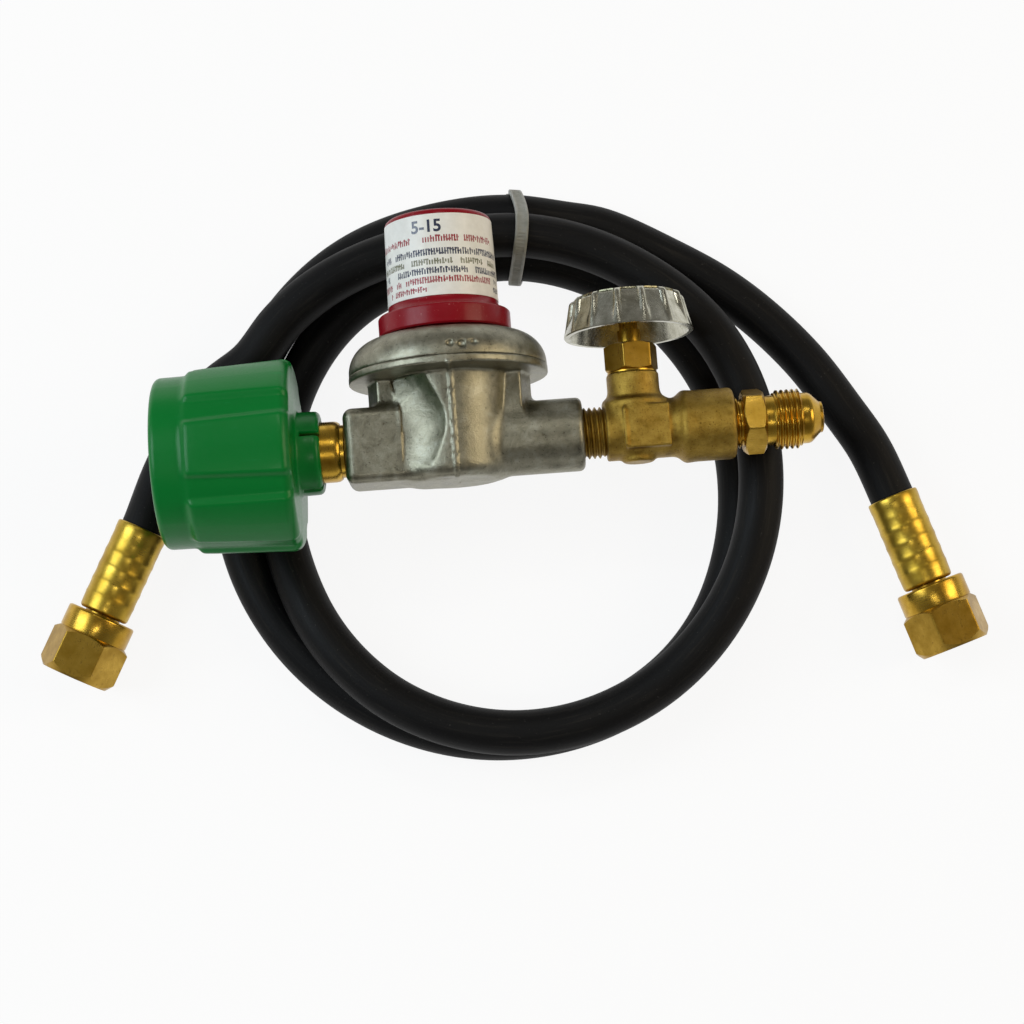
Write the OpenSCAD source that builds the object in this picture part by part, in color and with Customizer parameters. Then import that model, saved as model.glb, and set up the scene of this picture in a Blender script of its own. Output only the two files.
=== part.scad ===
// Propane regulator hose kit: a tank-side regulator with its needle valve and flare outlet,
// lying across a coiled and tied rubber hose with a swivel flare nut on each end.
// Millimetres. +X runs from the tank nut to the flare outlet, +Y from the regulator's axis to
// its red cap, and +Z up from the floor that the hose lies on.

/* [Place] */
// Height of the regulator's main axis over the floor
axis_z = 38.5; // [38.5:0.1:44]
// Place of the regulator's main axis along Y
axis_y = -4; // [-4.6:0.05:-3.4]
// Place of the red cap's axis along X
cap_x = -13.25; // [-13.6:0.05:-12.6]

/* [Tank nut] */
// Diameter of the smooth ring at the nut's mouth
nut_ring_d = 45.8; // [42:0.1:46]
// Length of the smooth ring
nut_ring_len = 9.3; // [8:0.1:12]
// Diameter of the grip where it starts
nut_grip_front_d = 49.4; // [47:0.1:50]
// Diameter of the grip at its rear
nut_grip_rear_d = 51.8; // [50:0.1:52]
// Length of the grip
nut_grip_len = 27.6; // [24:0.1:30]
// Number of broad lobes round the grip
nut_lobes = 7; // [5:1:10]
// Depth of the valleys between the lobes
nut_valley = 1.5; // [0.6:0.1:2]
// Diameter of the slotted collar behind the grip
nut_collar_d = 22.2; // [20:0.1:24]
// Length of the slotted collar
nut_collar_len = 5.9; // [4:0.1:6.5]
// Number of slots in the collar
nut_slots = 4; // [3:1:8]
// Outside diameter of the tank valve's thread that the nut takes
tank_thread_d = 33.3; // [32:0.1:34]
// Pitch of the nut's thread
tank_thread_pitch = 4.2; // [3.5:0.1:5]

/* [Inlet nipple] */
// Diameter of the nipple's neck
nipple_neck_d = 16.2; // [15:0.1:17]
// Length of the neck that shows behind the collar
nipple_neck_len = 4.2; // [3:0.1:6]
// Length of the thread that shows outside the inlet port
nipple_thread_len = 3.2; // [2:0.1:5]
// Diameter of the nipple's nose
nipple_nose_d = 12.4; // [11:0.1:13]
// How far the nose sits inside the nut's mouth
nipple_recess = 3.3; // [2:0.1:8]

/* [Regulator body] */
// Diameter of the flange
flange_d = 53; // [50:0.5:54]
// Distance from the main axis to the flange's underside
flange_low = 17; // [16:0.1:18]
// Height of the flange's straight rim
flange_rim = 2.1; // [1.5:0.1:5]
// Diameter of the bowl under the flange
bowl_top_d = 34; // [32:0.1:36]
// Diameter of the bowl at its bottom
bowl_bottom_d = 28.6; // [26:0.1:30]
// Distance from the main axis to the bowl's bottom
bowl_depth = 10.4; // [10:0.1:14]
// Width of the flat webs beside the bowl
web_width = 43.4; // [40:0.1:46]
// Thickness of the flat webs
web_thick = 16; // [12:0.5:18]
// Diameter of the inlet port
inlet_port_d = 20.4; // [19:0.1:22]
// Length of the inlet port from the cap's axis
inlet_port_len = 27.3; // [26:0.1:30]
// Diameter of the outlet port
outlet_port_d = 19.6; // [19:0.1:22]
// Length of the outlet port from the cap's axis
outlet_port_len = 34.6; // [33:0.1:38]

/* [Bonnet and cap] */
// Height of the bonnet over the flange's rim
bonnet_h = 9.4; // [8:0.1:10]
// Diameter of the bonnet's spring tower
tower_d = 23.4; // [22:0.1:23.8]
// Gap between the bonnet and the red cap at rest
cap_gap = 0.6; // [0.4:0.1:1.5]
// Diameter of the cap's lower ring
cap_ring_d = 35.3; // [33:0.1:37]
// Height of the cap's lower ring
cap_ring_h = 5.5; // [3:0.1:6]
// Diameter of the cap where the label starts
cap_low_d = 29.3; // [28.8:0.1:30]
// Diameter of the cap where the label ends
cap_high_d = 28.5; // [28:0.1:28.8]
// Height of the whole cap
cap_h = 31.5; // [28:0.1:32]
// Height of the label
label_h = 21.4; // [18:0.1:22]
// How far the cap rises in one turn
cap_pitch = 1.5; // [1:0.1:2]

/* [Needle valve] */
// Diameter of the 1/4 inch pipe threads
pipe_thread_d = 13.7; // [13.2:0.1:14]
// Length of pipe thread that shows before the valve
valve_stub_len = 6.2; // [5:0.1:8]
// Diameter of the valve's run
valve_run_d = 14.9; // [14.5:0.1:16]
// Length of the valve's run
valve_run_len = 20.2; // [19:0.1:22]
// Diameter of the outlet bell
valve_bell_d = 19; // [18.5:0.1:20]
// Length of the outlet bell
valve_bell_len = 13.7; // [12:0.1:15]
// Distance from the start of the run to the stem's axis
stem_place = 8; // [7:0.1:9]
// Diameter of the neck under the packing nut
valve_neck_d = 13.9; // [13.4:0.1:15]
// Height of the neck over the main axis
valve_neck_h = 15; // [14:0.1:16]
// Size across the flats of the packing nut
packing_nut_af = 12.7; // [12.7:0.1:14]
// Height of the packing nut
packing_nut_h = 7.4; // [6.5:0.1:8]
// Diameter of the valve's stem
stem_d = 6.4; // [6:0.1:6.6]
// Length of stem between the packing nut and the handwheel's hub
stem_show = 3.8; // [3.2:0.1:5]
// How far the stem rises in one turn
stem_pitch = 1; // [0.8:0.1:1.2]

/* [Handwheel] */
// Diameter of the handwheel's open rim
wheel_rim_d = 34.4; // [32:0.1:35]
// Diameter of the handwheel at its top
wheel_top_d = 30.3; // [28:0.1:31]
// Height of the handwheel
wheel_h = 9.4; // [8.5:0.1:10]
// Thickness of the handwheel's wall
wheel_wall = 1.5; // [1.2:0.1:2]
// Number of ridges round the handwheel
wheel_ridges = 14; // [10:1:16]
// Diameter of the handwheel's hub
wheel_hub_d = 9.6; // [9:0.1:11]

/* [Flare outlet] */
// Length of pipe thread that shows before the hexagon
flare_stub_len = 2.2; // [1.5:0.1:4]
// Size across the flats of the outlet's hexagon
flare_hex_af = 15.875; // [15.5:0.125:17]
// Length of the hexagon
flare_hex_len = 5.8; // [5:0.1:7]
// Length of the neck behind the thread
flare_neck_len = 2.6; // [2:0.1:4]
// Diameter of the flare thread
flare_thread_d = 15.875; // [15.8:0.025:15.9]
// Number of thread crests
flare_crests = 5; // [4:1:6]
// Length of the smooth nose behind the cone
flare_nose_len = 2.9; // [2:0.1:4]
// Bore of the outlet
flare_bore_d = 6.4; // [5:0.1:7]

/* [Hose] */
// Outside diameter of the hose
hose_d = 12.2; // [11.6:0.1:12.2]
// Inside diameter of the hose
hose_bore_d = 6.4; // [6:0.1:6.6]
// How deep the coil is cut flat where it lies on the floor
floor_cut = 1.22; // [1.2:0.01:1.3]

/* [Hose ends] */
// Height of the swivel nuts' axes over the floor
end_z = 11.05; // [11.05:0.05:11.5]
// Diameter of the crimped ferrules
ferrule_d = 14.2; // [13.8:0.1:14.6]
// Length of the ferrules
ferrule_len = 26; // [24:0.5:28]
// Number of crimp bands on each ferrule
crimp_bands = 4; // [3:1:5]
// Size across the flats of the swivel nuts
swivel_af = 19.05; // [18.5:0.05:19.05]
// Length of the swivel nuts' hexagon
swivel_hex_len = 12.2; // [11:0.1:14]
// Diameter of the swivel nuts' round collar
swivel_collar_d = 19; // [18:0.1:19.5]
// Length of the round collar
swivel_collar_len = 6.2; // [5.5:0.1:7]

/* [Cable tie] */
// Width of the cable tie
tie_w = 3.6; // [3:0.1:4.8]
// Thickness of the cable tie
tie_thick = 1.1; // [1:0.05:1.2]

/* [Hidden] */
$fn = 48;

fit = 0.05;          // radial clearance of a threaded or sliding fit
run_gap = 0.3;       // clearance between pieces that turn past each other
steps = 6;           // straight pieces in a quarter of a rounded edge
red = [0.52, 0.08, 0.11];
green = [0.0, 0.45, 0.2];
brass = [0.78, 0.6, 0.25];
zinc = [0.62, 0.62, 0.6];
steel = [0.7, 0.7, 0.72];
black = [0.06, 0.06, 0.07];

// Places along the main axis, counted from the cap's axis
nut_rear = -inlet_port_len - nipple_thread_len - nipple_neck_len;
nut_grip_rear = nut_rear - nut_collar_len;
nut_grip_front = nut_grip_rear - nut_grip_len;
nut_face = nut_grip_front - nut_ring_len;
nut_wall = 3;                                  // plastic behind the thermal bushing
bushing_rear = nut_grip_rear - nut_wall;
bushing_thick = 3.2;
shoulder_d = 25;
shoulder_thick = 3;
shoulder_rear = bushing_rear - bushing_thick;
shoulder_front = shoulder_rear - shoulder_thick;
nose_front = nut_face + nipple_recess;
port_depth = 12;                               // thread depth in both ports
valve_start = outlet_port_len + valve_stub_len;
stem_u = valve_start + stem_place;
bell_start = valve_start + valve_run_len;
bell_end = bell_start + valve_bell_len;
hex_start = bell_end + flare_stub_len;
hex_end = hex_start + flare_hex_len;
flare_pitch = 1.411;                           // 18 threads to the inch
thread_start = hex_end + flare_neck_len;
nose_start = thread_start + flare_crests * flare_pitch;
flare_nose_d = 13.6;
cone_start = nose_start + flare_nose_len;
flare_lip = 0.5;                               // flat ring left round the bore at the tip
cone_len = (flare_nose_d - flare_bore_d) / 2 - flare_lip;

// Places along the cap's axis, counted from the main axis
flange_top = flange_low + flange_rim;
diaphragm_thick = 0.8;
bonnet_top = flange_top + bonnet_h;
cap_bottom = bonnet_top + cap_gap;
cap_top = cap_bottom + cap_h;
cap_cone_h = 2.2;
label_start = cap_bottom + cap_ring_h + cap_cone_h + 0.3;
label_thick = 0.15;
cap_ceiling = 4;
tower_bore_d = 19.2;
spring_seat_thick = 1.6;
cap_boss_len = 3;
seat_top = cap_top - cap_ceiling - cap_boss_len;
tower_top = cap_top - cap_ceiling - 2 * run_gap;
plate_thick = 1.2;
main_spring_r = 6.8;                           // mean radius
main_spring_wire = 2;
plate_bore_d = 2 * main_spring_r + main_spring_wire + 0.4;
plate_d = plate_bore_d + 2.4;
plate_rim = 1.5;
diaphragm_d = flange_d - 5;
plate_low = flange_top + diaphragm_thick;
chamber_low = 12;
chamber_d = 32;
throat_d = 20;
well_d = 9;                                    // bore that holds the seat and the poppet
well_low = -8;
seat_low = 4;
seat_high = 7;
poppet_gap = 0.8;                              // how far the regulator's valve stands open
packing_nut_low = valve_neck_h + 0.6;
packing_nut_top = packing_nut_low + packing_nut_h;
wheel_low = packing_nut_top + stem_show - 0.3;
wheel_high = wheel_low + wheel_h;

// Where each hose end leaves its ferrule: the mouth of the ferrule and its direction
mouth_left = [-100.9, -17.3, end_z];
turn_left = -118;
mouth_right = [106.5, -23.5, end_z];
turn_right = -72.5;
hose_depth = 22;                               // hose that each ferrule grips
swivel_gap = 0.4;

// The hose's coil: angle clockwise from +Y round the coil's centre, radius, and height over
// the lowest strand. Two loops: the first lies up on the second, then rolls down inside it.
coil_x = -0.85;
coil_y = -10.5;
tie_angle = 8;
tie_slack = 0.3;                               // room between the strands and the tie
tie_lift = tie_slack + tie_thick;              // the strands rise over the tie's band
coil_stations = [
    [-62, 76, 12.3], [-45, 73.3, 12.8], [-25, 69.5, 12.3], [-10, 67.4, 11.5],
    [8, 67.1, 13.1], [37, 67.9, 13.5], [62, 69.8, 15.5], [90, 70.4, 16.5],
    [120, 71.1, 15.7], [150, 71.4, 13.4], [180, 70.5, 12.5], [207, 68.3, 12],
    [222, 66.4, 10.9], [234, 64.8, 9.2], [247, 63.2, 6.3], [258, 62.5, 3.6],
    [270, 62.5, 1], [290, 63.4, 0.1], [325, 64.7, 0], [350, 62.6, 0.2],
    [368, 63.1, tie_lift], [386, 63.8, 0.2], [415, 64.5, 0], [450, 66, 0],
    [470, 67.6, 0], [490, 70, 0], [505, 71, 0], [540, 71.5, 0],
    [570, 72.1, 0], [600, 73.5, 0], [615, 74.3, 0], [630, 74.9, 0], [645, 75.6, 0],
    [660, 76.4, 0], [675, 76.9, 0], [690, 76.9, 0], [710, 75.6, 0.2],
    [728, 75.4, tie_lift], [742, 75.6, 0.3]];
coil_start = -52;
coil_end = 728;
rings_per_loop = 24;
coil_sides = 6;
// The two tails, from the coil to the last diameter of hose before each ferrule
tail_left_points = [[-75.4, 20.8, 17.8], [-81, 17.3, 15.6], [-87.4, 10.9, 11],
                    [-90.4, 5.9, 8.8], [-95.3, -3.1, 7.9]];
tail_right_points = [[32.7, 58.9, 5.8], [50.9, 49, 4.9], [64.4, 40, 5], [75.7, 29.7, 6],
                     [86.5, 16.7, 7.5], [95.5, 1.8, 9.2], [101.6, -9.5, 10.4]];
tail_sides = 12;

// ---- shared shapes --------------------------------------------------------------------

module assembly() { translate([cap_x, axis_y, axis_z]) children(); }
module along_x() { rotate([0, 90, 0]) children(); }
module along_y() { rotate([-90, 0, 0]) children(); }
module turned(profile) { rotate_extrude() polygon(profile); }
module rod(d, low, high) { translate([0, 0, low]) cylinder(d = d, h = high - low); }
module hexagon(af, low, high) {
    translate([0, 0, low]) cylinder(d = af / cos(30), h = high - low, $fn = 6);
}

// Points of a rounded edge, from angle a to angle b
function arc(x, y, r, a, b) =
    [for (i = [0 : steps]) [x + r * cos(a + (b - a) * i / steps), y + r * sin(a + (b - a) * i / steps)]];

// A thread as rings: outline points from its first root, with flat crests
function rings(start, pitch, count, root, crest) =
    [for (i = [0 : count - 1]) each [[root, start + i * pitch],
                                     [crest, start + (i + 0.35) * pitch],
                                     [crest, start + (i + 0.65) * pitch]]];
function reversed(list) = [for (i = [len(list) - 1 : -1 : 0]) list[i]];

// A tube swept along a list of points, as one closed polyhedron
function unit(v) = v / norm(v);
function heading(points, i) =
    unit(points[min(i + 1, len(points) - 1)] - points[max(i - 1, 0)]);
function ring_points(centre, along, radius, sides) =
    let (side = unit(cross(along, [0, 0, 1])), up = cross(side, along))
    [for (k = [0 : sides - 1])
        centre + radius * (cos(90 + 360 * k / sides) * side + sin(90 + 360 * k / sides) * up)];
function tube_rings(points, radius, sides) =
    [for (i = [0 : len(points) - 1]) ring_points(points[i], heading(points, i), radius, sides)];
module tube(points, radius, sides) {
    loops = tube_rings(points, radius, sides);
    last = len(points) - 1;
    polyhedron(
        points = [for (loop = loops) each loop],
        faces = [
            for (i = [0 : last - 1], k = [0 : sides - 1])
                let (a = i * sides + k, b = i * sides + (k + 1) % sides)
                each [[a, b, b + sides], [a, b + sides, a + sides]],
            for (k = [1 : sides - 2]) [0, k + 1, k],
            for (k = [1 : sides - 2]) [last * sides, last * sides + k, last * sides + k + 1]
        ]);
}

// A wound spring along Z: mean radius, wire, bottom, top and turns
module spring(radius, wire, low, high, turns) {
    rings_per_turn = 8;
    count = turns * rings_per_turn;
    rise = (high - low - wire) / count;
    tube([for (i = [0 : count])
            [radius * cos(360 * i / rings_per_turn), radius * sin(360 * i / rings_per_turn),
             low + wire / 2 + i * rise]],
        wire / 2, 6);
}

// ---- the tank nut and the inlet nipple --------------------------------------------------

module inlet_nut() {
    lobe_share = 0.7;                          // part of the round that the lobes take
    rear_round = 5;
    ring_r = nut_ring_d / 2;
    front_r = nut_grip_front_d / 2;
    rear_r = nut_grip_rear_d / 2;
    bore_r = tank_thread_d / 2 + 0.25;
    crest_r = bore_r - 1.2;
    mouth_chamfer = 1.2;
    slot_w = 1.1;
    slot_len = 5.2;
    slot_first = 69.7;
    thread_turns = 4;
    thread_from = nut_face + 3;
    thread_to = thread_from + thread_turns * tank_thread_pitch;
    lobe_half = 360 / nut_lobes * lobe_share / 2;
    lobe_first = 180 / nut_lobes;
    color(green) assembly() along_x() difference() {
        union() {
            rod(nut_ring_d, nut_face, nut_grip_front + 1);
            rod(nut_collar_d, nut_grip_rear - 1, nut_rear);
            turned(concat([[0, nut_grip_front], [front_r - nut_valley, nut_grip_front]],
                arc(rear_r - nut_valley - rear_round, nut_grip_rear - rear_round, rear_round, 0, 90),
                [[0, nut_grip_rear]]));
            intersection() {
                turned(concat([[0, nut_grip_front], [front_r - 1, nut_grip_front],
                               [front_r, nut_grip_front + 1]],
                    arc(rear_r - rear_round, nut_grip_rear - rear_round, rear_round, 0, 90),
                    [[0, nut_grip_rear]]));
                for (i = [0 : nut_lobes - 1]) rotate([0, 0, lobe_first + i * 360 / nut_lobes])
                    translate([0, 0, nut_grip_front - 1]) linear_extrude(nut_grip_len + 2)
                        polygon([[0, 0], [rear_r * 1.2, -rear_r * 1.2 * tan(lobe_half)],
                                 [rear_r * 1.2, rear_r * 1.2 * tan(lobe_half)]]);
            }
        }
        turned(concat([[0, nut_face - 1], [bore_r + mouth_chamfer + 1, nut_face - 1],
                       [bore_r, nut_face + mouth_chamfer]],
            rings(thread_from, tank_thread_pitch, thread_turns, bore_r, crest_r),
            [[bore_r, thread_to], [bore_r - 0.6, thread_to + 1], [bore_r - 0.6, bushing_rear],
             [0, bushing_rear]]));
        rod(nipple_neck_d + 2 * run_gap, nut_face, nut_rear + 1);
        for (i = [0 : nut_slots - 1]) rotate([0, 0, slot_first + i * 360 / nut_slots])
            translate([0, -slot_w / 2, nut_rear - slot_len]) cube([nut_collar_d, slot_w, slot_len + 1]);
    }
}

module thermal_bushing() {
    bushing_d = 28;
    color("dimgray") assembly() along_x() difference() {
        rod(bushing_d, shoulder_rear + run_gap / 2, bushing_rear - run_gap / 2);
        rod(nipple_neck_d + 2 * fit, shoulder_front, bushing_rear + 1);
    }
}

module inlet_nipple() {
    nose_r = nipple_nose_d / 2;
    neck_r = nipple_neck_d / 2;
    thread_r = pipe_thread_d / 2;
    thread_pitch = 1.411;                      // 18 threads to the inch
    thread_count = round((nipple_thread_len + port_depth - 1.5) / thread_pitch);
    thread_from = nut_rear + nipple_neck_len;
    check_r = 4.3;
    through_r = 2.4;
    rear = thread_from + thread_count * thread_pitch;
    color(brass) assembly() along_x() turned(concat(
        [[check_r, nose_front]],
        [[nose_r - 1.3, nose_front], [nose_r, nose_front + 1.8], [nose_r, shoulder_front - 6],
         [neck_r - 0.6, shoulder_front - 3], [neck_r - 0.6, shoulder_front],
         [shoulder_d / 2, shoulder_front], [shoulder_d / 2, shoulder_rear],
         [neck_r, shoulder_rear], [neck_r, thread_from - 0.6], [thread_r - 0.8, thread_from]],
        rings(thread_from, thread_pitch, thread_count, thread_r - 0.8, thread_r),
        [[thread_r - 0.8, rear], [through_r, rear], [through_r, shoulder_front - 2],
         [check_r, shoulder_front - 4]]));
}

check_front = nose_front + 3;
check_travel = 2;

module flow_check_poppet() {
    color(brass) assembly() along_x() turned([[0, check_front], [3.4, check_front],
        [3.4, check_front + 5], [1.6, check_front + 7.5], [0, check_front + 7.5]]);
}

module flow_check_spring() {
    color(steel) assembly() along_x()
        spring(3.5, 0.5, check_front + 5.3, shoulder_front - 4.2, 5);
}

module flow_check_clip() {
    color(steel) assembly() along_x() difference() {
        rod(8.5, check_front - 1.2, check_front - 0.3);
        rod(5, check_front - 2, check_front);
    }
}

// ---- the regulator ----------------------------------------------------------------------

module regulator_body() {
    bottom_round = 6;
    top_r = bowl_top_d / 2;
    low_r = bowl_bottom_d / 2;
    web_low = -4;
    mouth = 1.2;
    inlet_r = inlet_port_d / 2;
    outlet_r = outlet_port_d / 2;
    thread_bore_d = pipe_thread_d + 2 * fit;
    passage_d = 6;
    riser_u = chamber_d / 2 - 3;
    riser_d = 4;
    seam = 1.6;
    seam_low = 5 - bowl_depth;
    color(zinc) assembly() difference() {
        union() {
            along_y() turned(concat([[0, -bowl_depth]],
                arc(low_r - bottom_round, bottom_round - bowl_depth, bottom_round, -90, 0),
                [[top_r, flange_low], [0, flange_low]]));
            along_y() turned([[0, flange_low], [flange_d / 2 - 1, flange_low],
                [flange_d / 2, flange_low + 1], [flange_d / 2, flange_top], [0, flange_top]]);
            translate([-web_width / 2, web_low, -web_thick / 2])
                cube([web_width, flange_low - web_low + 0.5, web_thick]);
            along_x() turned([[0, -inlet_port_len], [inlet_r - mouth, -inlet_port_len],
                [inlet_r, mouth - inlet_port_len], [inlet_r, 0], [0, 0]]);
            along_x() turned([[0, 0], [outlet_r, 0], [outlet_r, outlet_port_len - mouth],
                [outlet_r - mouth, outlet_port_len], [0, outlet_port_len]]);
            translate([0.5 - seam / 2, seam_low, 0])
                cube([seam, flange_low - seam_low, low_r + 0.5]);
        }
        along_x() rod(thread_bore_d, -inlet_port_len - 1, port_depth - inlet_port_len);
        along_x() rod(thread_bore_d, outlet_port_len - port_depth, outlet_port_len + 1);
        along_x() rod(passage_d, port_depth - inlet_port_len - 1, 0);
        along_x() rod(passage_d, riser_u, outlet_port_len - port_depth + 1);
        along_y() rod(well_d, well_low, seat_high);
        along_y() rod(throat_d, seat_high, chamber_low + 1);
        along_y() rod(chamber_d, chamber_low, flange_top + 1);
        translate([riser_u, 0, 0]) along_y() rod(riser_d, 0, chamber_low + 1);
    }
}

seat_bore_d = 3.6;

module valve_seat() {
    color(brass) assembly() along_y() difference() {
        rod(well_d - 2 * fit, seat_low, seat_high);
        rod(seat_bore_d, seat_low - 1, seat_high + 1);
    }
}

poppet_d = 6.4;
poppet_thick = 2;

module regulator_poppet() {
    disc = seat_low - poppet_gap;
    color("dimgray") assembly() along_y() {
        rod(poppet_d, disc - poppet_thick, disc);
        rod(seat_bore_d / 2, disc, flange_top - fit);
    }
}

module poppet_spring() {
    color(steel) assembly() along_y()
        spring(2.5, 0.5, well_low + 0.1, seat_low - poppet_gap - poppet_thick - 0.1, 6);
}

module diaphragm() {
    color(black) assembly() along_y() rod(diaphragm_d, flange_top, flange_top + diaphragm_thick);
}

module diaphragm_plate() {
    color(steel) assembly() along_y() difference() {
        rod(plate_d, plate_low, plate_low + plate_thick + plate_rim);
        rod(plate_bore_d, plate_low + plate_thick, plate_low + plate_thick + plate_rim + 1);
    }
}

module main_spring() {
    color(steel) assembly() along_y()
        spring(main_spring_r, main_spring_wire, plate_low + plate_thick + 0.1,
            seat_top - spring_seat_thick - 0.1, 6);
}

module spring_seat() {
    color(steel) assembly() along_y()
        rod(tower_bore_d - 2 * run_gap, seat_top - spring_seat_thick, seat_top - 0.02);
}

module bonnet() {
    edge_r = flange_d / 2 + 0.3;
    shoulder = 8.4;
    tower_pitch = cap_pitch;
    tower_r = tower_d / 2;
    neck_r = 15.5;
    cavity_d = 30;
    tower_turns = floor((tower_top - bonnet_top - 2) / tower_pitch);
    tower_root = tower_r - 0.7;
    thread_from = tower_top - tower_turns * tower_pitch - 1;
    color(zinc) assembly() along_y() difference() {
        turned(concat([[0, flange_top], [edge_r - 0.4, flange_top], [edge_r - 0.4, flange_top + 0.4]],
            arc(edge_r - 0.4 - shoulder, flange_top + 0.6, shoulder, 0, 84),
            [[neck_r, bonnet_top], [tower_root, bonnet_top]],
            rings(thread_from, tower_pitch, tower_turns, tower_root, tower_r),
            [[tower_root, tower_top], [0, tower_top]]));
        rod(diaphragm_d + 2 * fit, flange_top - 1, flange_top + diaphragm_thick);
        rod(cavity_d, flange_top, plate_low + plate_thick + plate_rim + 0.7);
        rod(tower_bore_d, flange_top, tower_top + 1);
    }
}

module adjusting_cap() {
    ring_r = cap_ring_d / 2;
    low_r = cap_low_d / 2;
    high_r = cap_high_d / 2;
    top_round = 2;
    cone = cap_bottom + cap_ring_h;
    color(red) assembly() along_y() difference() {
        turned(concat([[0, cap_bottom], [ring_r - 0.4, cap_bottom], [ring_r, cap_bottom + 0.4],
                       [ring_r, cone - 0.6], [ring_r - 0.6, cone], [low_r + 0.8, cone + 0.5],
                       [low_r, cone + cap_cone_h], [high_r, label_start + label_h]],
            arc(high_r - top_round, cap_top - top_round, top_round, 0, 90), [[0, cap_top]]));
        difference() {
            rod(tower_d + 2 * fit, cap_bottom - 1, cap_top - cap_ceiling);
            rod(8, seat_top, cap_top);
        }
    }
}

module cap_label() {
    cone = cap_bottom + cap_ring_h + cap_cone_h;
    slope = (cap_low_d - cap_high_d) / 2 / (label_start + label_h - cone);
    low_r = cap_low_d / 2 - slope * (label_start - cone) + 0.01;
    high_r = cap_high_d / 2 + 0.01;
    color("white") assembly() along_y() turned([[low_r, label_start], [low_r + label_thick, label_start],
        [high_r + label_thick, label_start + label_h], [high_r, label_start + label_h]]);
}

// ---- the needle valve ---------------------------------------------------------------------

needle_seat = 0.6;
orifice_d = 2.8;

module valve_body() {
    thread_r = pipe_thread_d / 2;
    thread_pitch = 1.411;
    thread_count = round((valve_stub_len + port_depth - 2) / thread_pitch);
    thread_from = valve_start - 0.4 - thread_count * thread_pitch;
    run_r = valve_run_d / 2;
    bell_r = valve_bell_d / 2;
    neck_r = valve_neck_d / 2;
    blend = 1.8;
    pad = [12.2, 11.6, valve_run_d / 2 + 0.7];
    passage_d = 4.4;
    color(brass) assembly() difference() {
        union() {
            along_x() turned(concat([[0, thread_from]],
                rings(thread_from, thread_pitch, thread_count, thread_r - 0.8, thread_r),
                [[thread_r - 0.8, valve_start - 0.4], [run_r - 0.5, valve_start - 0.4],
                 [run_r, valve_start], [run_r, bell_start - blend], [bell_r - 0.7, bell_start + 0.3],
                 [bell_r, bell_start + 1.4], [bell_r, bell_end - 1.2], [bell_r - 1.2, bell_end],
                 [0, bell_end]]));
            translate([stem_u, 0, 0]) along_y() {
                turned([[0, 0], [neck_r + 1.6, 0], [neck_r + 1.6, run_r - 0.8], [neck_r, run_r + 2],
                    [neck_r, valve_neck_h - 0.4], [neck_r - 0.4, valve_neck_h], [0, valve_neck_h]]);
                turned([[0, -run_r - 0.7], [2.4, -run_r - 0.7], [3.6, -run_r + 0.2], [3.6, 0], [0, 0]]);
            }
            translate([valve_start + 4.5, -pad[1] / 2, 0]) cube(pad);
        }
        along_x() rod(pipe_thread_d + 2 * fit, bell_end - port_depth, bell_end + 1);
        translate([0, -2.6, 0]) along_x() rod(passage_d, thread_from - 1, stem_u + 1.2);
        translate([0, 2.6, 0]) along_x() rod(passage_d, stem_u, bell_end - port_depth + 1);
        translate([stem_u, 0, 0]) along_y() {
            rod(orifice_d, -2.6, needle_seat + 1);
            rod(stem_d + 2 * fit, needle_seat, valve_neck_h + 1);
            rod(stem_d + 3.6, valve_neck_h - 3, valve_neck_h + 1);
        }
    }
}

module stem_packing() {
    color("dimgray") assembly() translate([stem_u, 0, 0]) along_y() difference() {
        rod(stem_d + 3.6 - 2 * fit, valve_neck_h - 3, packing_nut_low + 1);
        rod(stem_d + 2 * fit, valve_neck_h - 4, packing_nut_low + 2);
    }
}

module packing_nut() {
    turn = 12;
    color(brass) assembly() translate([stem_u, 0, 0]) along_y() difference() {
        union() {
            intersection() {
                rotate([0, 0, turn]) hexagon(packing_nut_af, packing_nut_low, packing_nut_top);
                turned([[0, packing_nut_low], [packing_nut_af / 2 + 0.2, packing_nut_low],
                    [packing_nut_af / 2 + 1, packing_nut_low + 0.7],
                    [packing_nut_af / 2 + 1, packing_nut_top - 0.7],
                    [packing_nut_af / 2 + 0.2, packing_nut_top], [0, packing_nut_top]]);
            }
            rod(valve_neck_d - 2, valve_neck_h, packing_nut_low + 0.5);
        }
        rod(stem_d + 3.6, valve_neck_h - 1, packing_nut_low + 1);
        rod(stem_d + 2 * fit, valve_neck_h - 1, packing_nut_top + 1);
    }
}

module valve_stem() {
    tip = needle_seat - 1.2;
    stem_r = stem_d / 2;
    thread_pitch = stem_pitch;
    thread_count = 5;
    thread_from = needle_seat + 3.4;
    tip_r = 0.5;
    cone_top_r = orifice_d / 2 - fit;
    tang_r = stem_r - 0.7;
    color(brass) assembly() translate([stem_u, 0, 0]) along_y() turned(concat(
        [[0, tip], [tip_r, tip], [cone_top_r, needle_seat + 0.2], [stem_r - 0.6, needle_seat + 1.4],
         [stem_r - 0.6, thread_from]],
        rings(thread_from, thread_pitch, thread_count, stem_r - 0.5, stem_r),
        [[stem_r - 0.5, thread_from + thread_count * thread_pitch],
         [stem_r, thread_from + thread_count * thread_pitch + 0.5],
         [stem_r, wheel_low + 0.3], [tang_r, wheel_low + 0.3], [tang_r, wheel_high - 1.2],
         [0, wheel_high - 1.2]]));
}

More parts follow.
